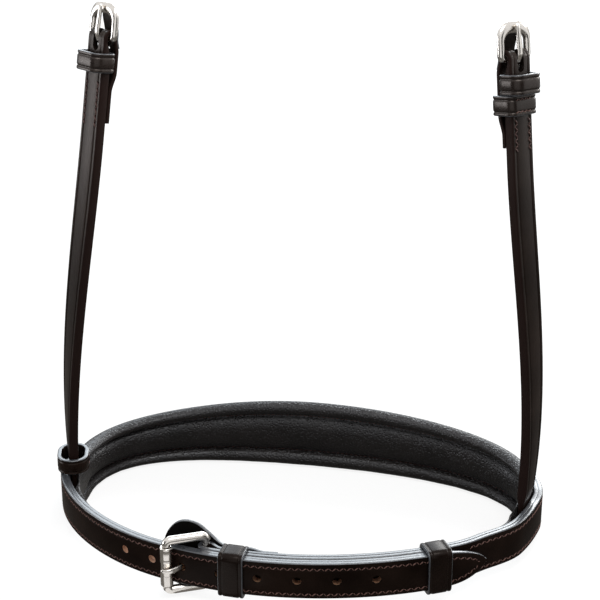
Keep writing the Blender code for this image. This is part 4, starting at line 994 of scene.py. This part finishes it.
def leather_loop(name, centre, ways, size, wall, height, corners, material, margin, wobble=0.0):
    """A loop of leather with a pressed line inside each edge and a slight swell between them.

    ways are its across, through and up directions.
    """
    across, through, up = ways
    half = height / 2
    lines = [(sign * (half - margin), *LOOP_GROOVE) for sign in (-1, 1)]
    profile = []
    for inset, rise, wear_and_sheen in leather_profile(wall, -half, half, lines, *LOOP_EDGES):
        swell = max(0.0, 1 - (rise / (half - margin)) ** 2) * LOOP_SWELL if inset < wall / 2 else 0.0
        profile.append((rise, inset - swell, wear_and_sheen))
    outlines = {inset: rounded_rectangle(size[0] - 2 * inset, size[1] - 2 * inset,
                                         [max(corner - inset, 0.3 * MM) for corner in corners])
                for _, inset, _ in profile}
    rings = []
    for index in range(len(outlines[profile[0][1]])):
        ring = []
        for rise, inset, _ in profile:
            a, b = outlines[inset][index]
            ring.append(centre + across * a + through * b
                        + up * (rise + wobble * soft_noise(a, b, 0.0, 220.0)))
        rings.append(ring)
    return solid(name, rings, material, closed=True, wear_and_sheen=[[wear_and_sheen for _, _, wear_and_sheen in profile]] * len(rings))


def make_chin_keepers():
    depth = FIXED_INWARD + DOUBLE_LEATHER
    room = 2 * (KEEPER_CLEARANCE + KEEPER_WALL)
    for name, place, width, body in (("chin_keeper_fixed", FIXED_KEEPER_PLACE, FIXED_KEEPER_WIDTH, "band"),
                                     ("chin_keeper_runner", RUNNER_PLACE, RUNNER_WIDTH, "runner")):
        along, out = (level(way) for way in plan_frame(place)[1:])
        keeper = leather_loop(name + "_loop", spot(place, depth / 2, STRAP_MIDDLE), (UP, out, along),
                              (STRAP_WIDTH + room, depth + room), KEEPER_WALL, width,
                              (KEEPER_CORNER + KEEPER_WALL,) * 4, KEEPER, 2.0 * MM)
        fit(keeper, name, body=body)


# Guard

def guard_inward(place):
    """The guard leaves its free end, passes behind the turn and the keeper, and ends on the strap."""
    behind_turn = HEEL_INWARD + TURN_RADIUS + GAP
    behind_keeper = FIXED_INWARD + DOUBLE_LEATHER + KEEPER_CLEARANCE + KEEPER_WALL + GAP
    keeper_left = FIXED_KEEPER_PLACE - FIXED_KEEPER_WIDTH / 2
    keeper_right = FIXED_KEEPER_PLACE + FIXED_KEEPER_WIDTH / 2
    on_strap = FIXED_INWARD + DOUBLE_LEATHER + GAP
    inward = GUARD_END_INWARD
    for target, start, end in ((behind_turn, GUARD_LEFT_END, HEEL_PLACE - TURN_RADIUS),
                               (behind_keeper, HEEL_PLACE, keeper_left),
                               (on_strap, keeper_right, keeper_right + RETURN_EASE)):
        inward += (target - inward) * smoothstep(place, start, end)
    return inward


def guard_heights(place):
    """A round end and a neck."""
    middle = half = GUARD_BULB_HALF_HEIGHT
    bulb_centre = GUARD_LEFT_END + GUARD_BULB_LENGTH
    if place < bulb_centre:
        share = (bulb_centre - place) / GUARD_BULB_LENGTH
        half = max(half * math.sqrt(max(0.0, 1 - share * share)), half / 6)
    else:
        neck = smoothstep(place, bulb_centre, bulb_centre + GUARD_NECK_LENGTH)
        half += (GUARD_NECK_HALF_HEIGHT - half) * neck
        middle += (STRAP_MIDDLE - middle) * neck
    return middle - half, middle + half


def make_guard():
    bulb_centre = GUARD_LEFT_END + GUARD_BULB_LENGTH
    round_end = [bulb_centre - GUARD_BULB_LENGTH * math.cos(math.pi / 2 * step / 24) for step in range(24)]
    strip = Strip()
    for place in round_end + spread(bulb_centre, GUARD_RIGHT_END, 1.6 * MM):
        point, _, out = plan_frame(place)
        strip.add_upright(point - out * guard_inward(place), -out,
                          leather_profile(GUARD_THICKNESS, *guard_heights(place), (), *GUARD_EDGES))
    fit(strip.build("buckle_guard", GUARD), "chin_buckle_guard")


# Metal

def wire(name, order, normal, closed=True, power=1.0):
    """A steel wire through (point, (half width in its plane, half width out of it)) pairs."""
    rings = []
    last = len(order) - 1
    for index, (point, (half_in, half_out)) in enumerate(order):
        before = order[index - 1][0] if closed or index > 0 else point
        after = order[(index + 1) % (last + 1)][0] if closed or index < last else point
        side = normal.cross((after - before).normalized()).normalized()
        ring = []
        for angle in (turn + math.pi / WIRE_SIDES for turn in turns(WIRE_SIDES)):
            c, s = (math.copysign(abs(value) ** power, value) for value in (math.cos(angle), math.sin(angle)))
            ring.append(point + side * half_in * c + normal * half_out * s)
        rings.append(ring)
    return solid(name, rings, STEEL, closed=closed)


def frame_wire(name, order, normal):
    """A closed wire with extra points on its long straight runs, so that its thickness varies smoothly."""
    made = []
    for (point, half), (next_point, next_half) in zip(order, order[1:] + order[:1]):
        made.append((point, half))
        parts = int((next_point - point).length / (2.0 * MM))
        for share in (part / parts for part in range(1, parts)):
            made.append((point.lerp(next_point, share),
                         tuple(a + (b - a) * share for a, b in zip(half, next_half))))
    return wire(name, made, normal)


def pin(name, path, origin, ways, half, width, slim, slim_from, power):
    """A buckle's tongue along a path in its own plane, slimmer and blunt towards its tip."""
    reach, face, across = ways
    curve = smooth_path(path, 8)
    count = len(curve)
    order = []
    for index, (a, b) in enumerate(curve):
        size = 1.0 - slim * smoothstep(index, count * slim_from, count - 1)
        size *= math.sqrt(max(0.06, 1 - smoothstep(index, count - 5, count - 1) ** 2))
        order.append((origin + reach * a + face * b, (half * size, width / 2 * size)))
    return wire(name, order, across, closed=False, power=power)


def eye_path(radius, angles):
    return [(radius * math.cos(math.radians(angle)), radius * math.sin(math.radians(angle)))
            for angle in angles]


def make_chin_buckle():
    heel = spot(HEEL_PLACE, HEEL_INWARD, STRAP_MIDDLE + CHIN_BUCKLE_RISE)
    roller = spot(ROLLER_PLACE, -(ROLLER_RADIUS + GAP), STRAP_MIDDLE + CHIN_BUCKLE_RISE)
    reach = (roller - heel).normalized()
    face = reach.cross(UP)
    if face.dot(level(plan_frame(HEEL_PLACE)[2])) < 0:
        face = -face
    length = (roller - heel).length
    middle = (heel + roller) / 2
    outline = corner_arcs(length, CHIN_BUCKLE_INNER_WIDTH + 2 * CHIN_LEG_RADIUS, (CHIN_CORNER_RADIUS,) * 4)
    body = [(middle + reach * a + UP * h, (CHIN_LEG_RADIUS,) * 2) for a, h in outline]

    def bar(end, radius):
        """Both ends of a straight bar, from below for the roller's and from above for the heel's."""
        return [(middle + reach * end * length / 2 + UP * end * sign * CHIN_BUCKLE_INNER_WIDTH / 2,
                 (radius,) * 2) for sign in (-1, 1)]

    steps = ARC_STEPS + 1
    order = (body[:steps] + bar(1, ROLLER_BAR_RADIUS) + body[steps:3 * steps] + bar(-1, HEEL_BAR_RADIUS)
             + body[3 * steps:])
    fit(frame_wire("chin_frame", order, face), "chin_buckle_frame")
    make_roller(roller)
    make_chin_tongue(heel, length, reach, face)


def make_roller(roller):
    """A sleeve with a waist for the tongue, and a bead and a rounded lip at each end."""
    half, waist = ROLLER_LENGTH / 2, ROLLER_WAIST_LENGTH / 2
    bore, bead, r = ROLLER_BAR_RADIUS + ROLLER_CLEARANCE, 0.09 * MM, ROLLER_RADIUS
    waist_low = ROLLER_WAIST_RADIUS - 0.05 * MM
    upper = [(waist_low, 0.0), (waist_low, waist * 0.6), (ROLLER_WAIST_RADIUS, waist * 0.8),
             (r - 0.05 * MM, waist), (r, waist + 0.3 * MM), (r, waist + 1.6 * MM),
             (r - bead, waist + 1.9 * MM), (r - bead, waist + 2.2 * MM), (r, waist + 2.5 * MM),
             (r, half - 1.6 * MM),
             (r - bead, half - 1.3 * MM), (r - bead, half - 1.1 * MM), (r, half - 0.85 * MM),
             (r, half - 0.4 * MM), (r - 0.15 * MM, half - 0.12 * MM), (r - 0.45 * MM, half),
             (bore + 0.2 * MM, half), (bore, half - 0.2 * MM)]
    profile = [(radius, -height) for radius, height in reversed(upper)][:-1] + upper
    rings = [[roller + Vector((radius * math.cos(angle), radius * math.sin(angle), height))
              for radius, height in profile] for angle in turns(ROLLER_SIDES)]
    sleeve = solid("roller_sleeve", rings, STEEL, closed=True)
    fit(sleeve, "chin_buckle_roller", "chin_roller")


def make_chin_tongue(heel, length, reach, face):
    half = CHIN_TONGUE_THICKNESS / 2
    rest = ROLLER_WAIST_RADIUS + TONGUE_CLEARANCE + half
    hole = spot(TONGUE_HOLE_PLACE, DOUBLE_LEATHER / 2, heel.z) - heel
    along, out = hole.dot(reach), hole.dot(face)
    path = eye_path(HEEL_BAR_RADIUS + ROLLER_CLEARANCE + half, (30, 75, 120, 165, 210, 255))
    path += [(along * 0.55, -CHIN_TONGUE_DIP), (along - half * 1.7, out - half * 2.4),
             (along + half, out + half), (length - rest * 0.85, rest * 0.72), (length, rest),
             (length + CHIN_TONGUE_OVERHANG, rest - CHIN_TONGUE_OVERHANG * 0.42)]
    tongue = pin("chin_tongue_pin", path, Vector((heel.x, heel.y, STRAP_MIDDLE)), (reach, face, UP), half,
                 CHIN_TONGUE_WIDTH, 0.30, 0.8, 0.8)
    fit(tongue, "chin_buckle_tongue", "chin_tongue")


# Hangers

class Hanger:
    """Centre line, facing and buckle place of one hanger."""

    def __init__(self, sizes, loop_drop):
        self.place, heel_height, lean, forward, top, root, bow, tilt, back = sizes
        side = Vector((1.0 if plan_frame(self.place)[2][0] > 0 else -1.0, 0.0, 0.0))
        self.loop_drop = loop_drop
        self.top_facing = math.radians(top)
        self.root_facing = math.radians(root)
        self.root = spot(self.place, HANGER_ROOT_INWARD, STRAP_HIGH)
        self.up = (UP - side * math.tan(math.radians(tilt))
                   + Vector((0.0, 1.0, 0.0)) * math.tan(math.radians(back))).normalized()
        self.face = self.square_to(direction(self.top_facing), self.up)
        self.across = self.up.cross(self.face).normalized()
        self.heel = Vector((self.root.x, self.root.y - forward, heel_height)) - side * lean
        self.outer = self.heel + self.face * (HANGER_SKIVED + GAP + BUCKLE_BAR_RADIUS)
        self.joint = self.outer - self.face * HANGER_THICKNESS / 2 - self.up * HANGER_STRAIGHT
        self.length = (self.joint - self.root).length
        self.low_handle = self.root + UP * self.length * LOWER_HANDLE_SHARE + side * bow
        self.high_handle = self.joint - self.up * self.length * UPPER_HANDLE_SHARE

    @staticmethod
    def square_to(way, along):
        return (way - along * way.dot(along)).normalized()

    def frame(self, share):
        """Centre, way along and way out of the face, from the root to where the straight top begins."""
        rest = 1 - share
        centre = (self.root * rest ** 3 + self.low_handle * 3 * rest ** 2 * share
                  + self.high_handle * 3 * rest * share ** 2 + self.joint * share ** 3)
        along = ((self.low_handle - self.root) * rest ** 2
                 + (self.high_handle - self.low_handle) * 2 * rest * share
                 + (self.joint - self.high_handle) * share ** 2).normalized()
        turn = self.top_facing + (self.root_facing - self.top_facing) * rest ** TWIST_POWER
        return centre, along, self.square_to(direction(turn), along)

    def front(self, drop):
        """Middle of the front face below the heel bar."""
        return self.outer - self.up * drop


def skived(drop):
    return HANGER_SKIVED + (HANGER_THICKNESS - HANGER_SKIVED) * smoothstep(drop, 0.0, HANGER_KEEPER_DROP)


def return_shift(hanger, drop):
    """How far behind the front face the middle of the turned-back layer runs."""
    at_bar = HANGER_SKIVED * 1.5 + 2 * (BUCKLE_BAR_RADIUS + GAP)
    at_keeper = HANGER_THICKNESS + 2 * GAP + HANGER_KEEPER_WALL + HANGER_SKIVED / 2
    flat = HANGER_THICKNESS + GAP + HANGER_SKIVED / 2
    keeper_top = HANGER_KEEPER_DROP - HANGER_KEEPER_HEIGHT / 2
    shift = at_bar + (at_keeper - at_bar) * smoothstep(drop, 0.0, keeper_top)
    past_loop = smoothstep(drop, hanger.loop_drop, hanger.loop_drop + HANGER_THICKNESS * 2)
    return shift + (flat - shift) * past_loop


def make_hanger(side, hanger):
    strip = Strip()

    def add(centre, face, across, thickness, deep):
        """A section with a pressed line inside each edge."""
        half = HANGER_WIDTH / 2
        lines = [(sign * (half - HANGER_ROW_MARGIN), deep, 0.5 * MM) for sign in (-1, 1)]
        strip.add(centre + face * thickness / 2, across, -face,
                  leather_profile(thickness, -half, half, lines, *HANGER_FINISH))

    tail_face = level(plan_frame(hanger.place)[2])
    tail_across = UP.cross(tail_face).normalized()
    for drop in (HANGER_TAIL_DEPTH, HANGER_TAIL_DEPTH / 2, 1.0 * MM, 0.0):
        add(hanger.root - UP * drop, tail_face, tail_across, HANGER_TAIL_THICKNESS, 0.05 * MM)
    count = math.ceil(hanger.length / HANGER_PITCH)
    for step in range(1, count + 1):
        centre, along, face = hanger.frame(step / count)
        growth = smoothstep(step * hanger.length / count, 0.0, 7.0 * MM)
        thickness = HANGER_TAIL_THICKNESS + (HANGER_THICKNESS - HANGER_TAIL_THICKNESS) * growth
        add(centre, face, along.cross(face).normalized(), thickness, HANGER_CREASE)
    for drop in (spread(HANGER_STRAIGHT, HANGER_KEEPER_DROP, HANGER_PITCH)[1:]
                 + spread(HANGER_KEEPER_DROP, 0.0, 1.2 * MM)[1:]):
        deep = HANGER_CREASE * (0.3 + 0.7 * smoothstep(drop, 0.0, HANGER_KEEPER_DROP))
        add(hanger.front(drop) - hanger.face * skived(drop) / 2, hanger.face, hanger.across,
            skived(drop), deep)
    radius = BUCKLE_BAR_RADIUS + GAP + HANGER_SKIVED / 2
    for step in range(1, 2 * ARC_STEPS):
        turn = math.pi * step / (2 * ARC_STEPS)
        away = hanger.face * math.cos(turn) + hanger.up * math.sin(turn)
        add(hanger.heel + away * radius, away, hanger.across, HANGER_SKIVED, HANGER_CREASE * 0.3)
    for drop in spread(0.0, HANGER_RETURN, HANGER_PITCH / 2):
        add(hanger.front(drop) - hanger.face * return_shift(hanger, drop), -hanger.face, hanger.across,
            HANGER_SKIVED, HANGER_CREASE * 0.3)
    strap = strip.build(f"hanger_strap_{side}", HANGER)
    carve(strap, [tongue_slot(hanger)])
    fit(strap, f"hanger_{side}")
    make_hanger_buckle(side, hanger)
    make_tab(side, hanger)
    make_hanger_keeper(side, hanger)


def tongue_slot(hanger):
    """A slot with a rounded lower end through the turn."""
    width = TONGUE_WIDTH / 2 + SLOT_CLEARANCE
    outline = [(width, HANGER_SLOT_ABOVE), (-width, HANGER_SLOT_ABOVE)]
    outline += [(-width * math.cos(turn), -HANGER_SLOT_BELOW + width * (1 - math.sin(turn)))
                for turn in (math.pi * step / 12 for step in range(13))]
    rings = [[hanger.heel + hanger.across * a + hanger.up * u + hanger.face * reach * HANGER_SLOT_ABOVE
              for a, u in outline] for reach in (-1, 1)]
    return solid("cutter", rings, LINING)


def make_hanger_buckle(side, hanger):
    outline = corner_arcs(BUCKLE_INNER_WIDTH + 2 * BUCKLE_LEG_RADIUS, BUCKLE_RISE,
                          (BUCKLE_HEEL_CORNER, BUCKLE_TOP_CORNER, BUCKLE_TOP_CORNER, BUCKLE_HEEL_CORNER))
    order = []
    for across, rise in outline:
        heavy = smoothstep(rise, BUCKLE_RISE / 2 - BUCKLE_TOP_CORNER, BUCKLE_RISE / 2)
        depth = BUCKLE_LEG_RADIUS + (BUCKLE_TOP_HALF_DEPTH - BUCKLE_LEG_RADIUS) * heavy
        order.append((hanger.heel + hanger.across * across + hanger.up * (rise + BUCKLE_RISE / 2),
                      (depth, BUCKLE_LEG_RADIUS)))
    fit(frame_wire(f"hanger_frame_{side}", order, hanger.face), f"buckle_frame_{side}",
        f"{side}_buckle")
    half = TONGUE_THICKNESS / 2
    eye = BUCKLE_BAR_RADIUS + ROLLER_CLEARANCE + half
    rest = BUCKLE_LEG_RADIUS + TONGUE_CLEARANCE + half
    path = eye_path(eye, (-40, -85, -130, -175, -220, -255))
    path += [(eye, eye + TONGUE_SWELL), (BUCKLE_RISE / 2, rest + TONGUE_SWELL / 2), (BUCKLE_RISE, rest),
             (BUCKLE_RISE + TONGUE_OVERHANG, rest - half / 2)]
    tongue = pin(f"hanger_pin_{side}", path, hanger.heel, (hanger.up, hanger.face, hanger.across), half,
                 TONGUE_WIDTH, 0.35, 0.7, 0.85)
    fit(tongue, f"buckle_tongue_{side}", f"{side}_tongue")


def make_tab(side, hanger):
    strip = Strip()
    behind = HANGER_SKIVED / 2 + GAP + TAB_THICKNESS / 2

    def add(centre, width):
        strip.add(centre + hanger.face * TAB_THICKNESS / 2, hanger.across, -hanger.face,
                  leather_profile(TAB_THICKNESS, -width / 2, width / 2, (), *TAB_EDGES))

    for drop in spread(TAB_FOOT, 0.0, HANGER_PITCH / 2):
        add(hanger.front(drop) - hanger.face * (return_shift(hanger, drop) + behind), TAB_WIDTH)
    at_bar = return_shift(hanger, 0.0) + behind - (HANGER_SKIVED + GAP + BUCKLE_BAR_RADIUS)
    at_frame = BUCKLE_LEG_RADIUS + TAB_CLEARANCE + TAB_THICKNESS / 2
    tip = TAB_TIP_WIDTH / 2
    straight = TAB_RISE - tip
    outline = [(rise, TAB_WIDTH) for rise in spread(0.0, straight, HANGER_PITCH / 2)[1:]]
    outline += [(straight + tip * math.sin(turn),
                 TAB_TIP_WIDTH + (TAB_WIDTH - TAB_TIP_WIDTH) * math.cos(turn))
                for turn in (math.pi / 2 * step / 12 for step in range(1, 13))]
    for rise, width in outline:
        near = smoothstep(rise, tip / 2, straight)
        add(hanger.heel + hanger.up * rise - hanger.face * (at_bar + (at_frame - at_bar) * near), width)
    fit(strip.build(f"tab_{side}", LINING), f"buckle_tab_{side}")


def make_hanger_keeper(side, hanger):
    room = 2 * (LOOP_CLEARANCE + HANGER_KEEPER_WALL)
    inner = HANGER_THICKNESS + HANGER_KEEPER_SPACE
    back_corner = KEEPER_CORNER + HANGER_KEEPER_WALL
    centre = hanger.front(HANGER_KEEPER_DROP) + hanger.face * (inner / 2 - HANGER_THICKNESS - GAP)
    keeper = leather_loop(f"keeper_loop_{side}", centre, (hanger.across, hanger.face, hanger.up),
                          (HANGER_WIDTH + room, inner + 2 * HANGER_KEEPER_WALL), HANGER_KEEPER_WALL,
                          HANGER_KEEPER_HEIGHT,
                          (back_corner, HANGER_KEEPER_CORNER, HANGER_KEEPER_CORNER, back_corner),
                          KEEPER_PAINTED_LIGHTER, 2.0 * MM, wobble=0.05 * MM)
    fit(keeper, f"keeper_{side}")


def make_lower_loop(hanger, thread):
    layers = return_shift(hanger, hanger.loop_drop) + HANGER_SKIVED / 2
    room = 2 * (LOOP_CLEARANCE + HANGER_KEEPER_WALL)
    centre = hanger.front(hanger.loop_drop - LOWER_LOOP_HEIGHT / 2) - hanger.face * layers / 2
    loop = leather_loop("lower_loop", centre, (hanger.across, hanger.face, hanger.up),
                        (HANGER_WIDTH + room, layers + room), HANGER_KEEPER_WALL, LOWER_LOOP_HEIGHT,
                        (KEEPER_CORNER + HANGER_KEEPER_WALL,) * 4, KEEPER_PAINTED_LIGHTER, LOWER_LOOP_ROW_MARGIN)
    fit(loop, "lower_loop_right")
    outer = layers / 2 + room / 2 - 0.16 * MM
    reach = HANGER_WIDTH / 2
    rise = LOWER_LOOP_HEIGHT / 2 - LOWER_LOOP_ROW_MARGIN
    for sign in (-1, 1):
        spots = [centre + hanger.across * a + hanger.face * outer + hanger.up * sign * rise
                 for a in spread(-reach, reach * 0.72, 1.0 * MM)]
        thread.row(spots, [hanger.face] * len(spots), pitch=2.7 * MM, length=1.6 * MM, radius=0.26 * MM,
                   slant=1.1 * MM)


def stitch_hanger(hanger, thread):
    """Two rows in the pressed lines where the two layers are sewn together."""
    low_drop = HANGER_RETURN - 1.5 * MM
    lift = 0.10 * MM
    drops = spread(low_drop + 4.0 * MM, hanger.loop_drop + 1.0 * MM, 1.0 * MM)
    for sign in (-1, 1):
        spots = [hanger.front(drop) + hanger.face * lift
                 + hanger.across * sign * (HANGER_WIDTH / 2 - HANGER_ROW_MARGIN) for drop in drops]
        thread.row(spots, [hanger.face] * len(spots), pitch=3.4 * MM, length=2.2 * MM, radius=0.40 * MM)


# Slip loop

def make_slip_loop(thread):
    along, out = (level(way) for way in plan_frame(LEFT_HANGER_PLACE)[1:])
    low = STRAP_HIGH + SLIP_LOOP_RISE
    centre = spot(LEFT_HANGER_PLACE, HANGER_ROOT_INWARD, low) + UP * SLIP_LOOP_HEIGHT / 2
    loop = leather_loop("slip_loop_ring", centre, (along, out, UP), (SLIP_LOOP_LENGTH, SLIP_LOOP_DEPTH),
                        SLIP_LOOP_WALL, SLIP_LOOP_HEIGHT, (SLIP_LOOP_CORNER,) * 4, KEEPER, 1.6 * MM,
                        wobble=0.12 * MM)
    fit(loop, "slip_loop")
    for index, sign in enumerate((-1, 1)):
        reach = sign * (SLIP_LOOP_LENGTH - SLIP_LOOP_WALL) / 2
        foot = spot(LEFT_HANGER_PLACE + reach, HANGER_ROOT_INWARD, low)
        rings = []
        for rise in spread(-SLIP_LOOP_END_DROP, SLIP_LOOP_WALL, 1.6 * MM):
            slim = 1.0 - 0.25 * smoothstep(-rise, SLIP_LOOP_END_DROP * 0.7, SLIP_LOOP_END_DROP)
            outline = corner_arcs(SLIP_LOOP_END_WIDTH * slim, HANGER_TAIL_THICKNESS * slim,
                                  (0.6 * MM,) * 4, 4)
            rings.append([foot + UP * rise + along * a + out * b for a, b in outline])
        fit(solid(f"slip_loop_leg_{index + 1}", rings, KEEPER), None)
    inner = SLIP_LOOP_DEPTH / 2 + 0.02 * MM
    for rise in (-2.2 * MM, 2.2 * MM):
        spots = [centre + along * a - out * inner + UP * rise
                 for a in spread(-1.0 * MM, 3.6 * MM, 0.8 * MM)]
        thread.row(spots, [-out] * len(spots), pitch=2.4 * MM, length=1.5 * MM, radius=0.24 * MM,
                   slant=0.8 * MM)


# Stage

def background_rays(tree):
    """1 for the rays that show the background: from the camera, in gloss and through glass."""
    path = node(tree, "ShaderNodeLightPath").outputs
    seen = maths(tree, "MAXIMUM", path["Is Camera Ray"], path["Is Glossy Ray"])
    return maths(tree, "MAXIMUM", seen, path["Is Transmission Ray"])


def make_stage():
    """A floor that looks white and keeps the shadow, and lights the object less than it looks."""
    material, tree = new_material("floor_white")
    grey, dim = (node(tree, "ShaderNodeBsdfDiffuse", {"Color": (tone,) * 3}) for tone in (0.45, 0.20))
    glow = node(tree, "ShaderNodeEmission", {"Color": (1.0, 1.0, 1.0), "Strength": 0.86})
    both = node(tree, "ShaderNodeAddShader", {0: glow.outputs[0], 1: dim.outputs[0]})
    unlit(tree, node(tree, "ShaderNodeMixShader",
                     {0: background_rays(tree), 1: grey.outputs[0], 2: both.outputs[0]}))
    size = 3.0
    corners = [(-size, -size, 0.0), (size, -size, 0.0), (size, size, 0.0), (-size, size, 0.0)]
    floor = mesh_object("floor", corners, [(0, 1, 2, 3)], material)
    floor.location.z = -0.05 * MM


def make_world():
    world = bpy.data.worlds.new("studio")
    bpy.context.scene.world = world
    world.use_nodes = True
    tree = world.node_tree
    soft = tree.nodes["Background"]
    feed(tree, soft.inputs["Color"], (0.94, 0.97, 1.0))
    feed(tree, soft.inputs["Strength"], 0.36)
    white = node(tree, "ShaderNodeBackground", {"Color": (1.0, 1.0, 1.0), "Strength": 1.0})
    mix = node(tree, "ShaderNodeMixShader",
               {0: background_rays(tree), 1: soft.outputs[0], 2: white.outputs[0]})
    feed(tree, tree.nodes["World Output"].inputs["Surface"], mix.outputs[0])


def card_material(name, dark, light, size):
    """An unlit studio card with soft uneven tone; it glows dark grey to paint darker reflections."""
    material, tree = new_material(name)
    tone = ramp(tree, cloud(tree, object_place(tree), 1 / size).outputs["Fac"], 0.40, 0.62)
    unlit(tree, node(tree, "ShaderNodeEmission", {"Color": mixed(tree, tone, dark, light)}))
    return material


def card(name, centre, azimuths, radii, heights, material, count=12):
    """A card on the floor or upright round a centre, which only polished surfaces show: a painted reflection
    that darkens them.
    """
    start, end = azimuths
    points = []
    for way in (direction(math.radians(start + (end - start) * step / count)) for step in range(count + 1)):
        points += [(centre[0] + way[0] * radius, centre[1] + way[1] * radius, height)
                   for radius, height in zip(radii, heights)]
    faces = [(2 * step, 2 * step + 1, 2 * step + 3, 2 * step + 2) for step in range(count)]
    item = mesh_object(name, points, faces, material)
    item.visible_camera = item.visible_diffuse = item.visible_transmission = item.visible_shadow = False


def make_cards():
    dark = card_material("dark_card", (0.03, 0.03, 0.027), (0.08, 0.08, 0.072), 0.4)
    grey = card_material("grey_card", (0.13, 0.125, 0.115), (0.20, 0.19, 0.175), 0.3)
    point, _, out = plan_frame(ROLLER_PLACE)
    roller = point + out * (ROLLER_RADIUS + GAP)
    low = (0.3 * MM,) * 2
    card("floor_card_left", roller, (-180.0, -36.0), (0.004, 1.1), low, grey)
    card("floor_card_right", roller, (66.0, 180.0), (0.004, 1.1), low, grey)
    card("floor_card_front", roller, (-36.0, 66.0), (0.058, 1.1), low, grey)
    for name, azimuths, heights, material in (("front_card_left", (-70.0, -24.0), (0.02, 0.75), dark),
                                              ("front_card_right", (36.0, 76.0), (0.02, 0.75), dark),
                                              ("back_card_left", (-152.0, -116.0), (0.0, 0.5), grey),
                                              ("back_card_right", (112.0, 150.0), (0.0, 0.5), grey)):
        card(name, (0.0, 0.0), azimuths, (1.2, 1.2), heights, material)


def make_lights():
    centre = (0.0, 0.0, 0.12)
    low = (0.0, 0.0, 0.03)
    for name, place, target, size, energy, colour in (
            ("key", (0.30, -0.5, 1.4), centre, (0.9, 0.6), 10.0, (1.0, 0.98, 0.95)),
            ("left_card", (-1.5, -0.25, 0.05), centre, (0.7, 0.9), 12.0, (0.98, 0.98, 1.0)),
            ("right_side", (1.22, 0.90, 0.52), centre, (0.7, 0.6), 15.0, (1.0, 0.98, 0.95)),
            ("back_strip", (-0.2, 1.6, 0.98), low, (2.2, 0.8), 19.0, (0.84, 0.93, 1.0)),
            ("back_right", (0.30, 1.55, 0.96), (0.1, 0.0, 0.03), (0.6, 0.8), 9.0, (1.0, 0.99, 0.96))):
        data = bpy.data.lights.new(name, "AREA")
        data.shape = "RECTANGLE"
        data.size, data.size_y = size
        data.energy = energy
        data.color = colour
        item = placed(name, data)
        item.location = place
        item.rotation_euler = (Vector(target) - Vector(place)).to_track_quat("-Z", "Y").to_euler()


def make_camera():
    """The photograph's view, from a perspective fit; the focal length is in pixels of its width."""
    azimuth, elevation = math.radians(9.0), math.radians(22.5)
    distance = 0.910
    focal, photo_width = 1666.7, 600
    place = Vector((math.sin(azimuth) * math.cos(elevation), -math.cos(azimuth) * math.cos(elevation),
                    math.sin(elevation))) * distance
    right = Vector((math.cos(azimuth), math.sin(azimuth), 0.0))
    forward = -place / distance
    aim = right * -0.00293 + right.cross(forward) * 0.11672 + Vector((0.00519, 0.00462, 0.0075))
    data = bpy.data.cameras.new("camera")
    data.sensor_width = 36.0
    data.lens = focal / photo_width * data.sensor_width
    data.clip_end = 50.0
    camera = placed("camera", data)
    camera.location = place + aim
    camera.rotation_euler = forward.to_track_quat("-Z", "Y").to_euler()
    bpy.context.scene.camera = camera


def main():
    make_camera()
    make_band()
    make_linings()
    make_pad()
    make_chin_buckle()
    make_chin_keepers()
    make_guard()
    keeper_low = HANGER_KEEPER_DROP + HANGER_KEEPER_HEIGHT / 2
    left = Hanger(LEFT_HANGER, keeper_low)
    right = Hanger(RIGHT_HANGER, keeper_low + GAP + LOWER_LOOP_HEIGHT)
    make_hanger("left", left)
    make_hanger("right", right)
    thread = stitch_band()
    make_lower_loop(right, thread)
    make_slip_loop(thread)
    thread.build("strap_stitches", THREAD)
    hanger_thread = Thread()
    stitch_hanger(left, hanger_thread)
    stitch_hanger(right, hanger_thread)
    hanger_thread.build("hanger_stitches", HANGER_THREAD)
    stitch_pad()
    make_stage()
    make_world()
    make_cards()
    make_lights()
    bpy.context.scene.view_settings.view_transform = "Standard"


main()
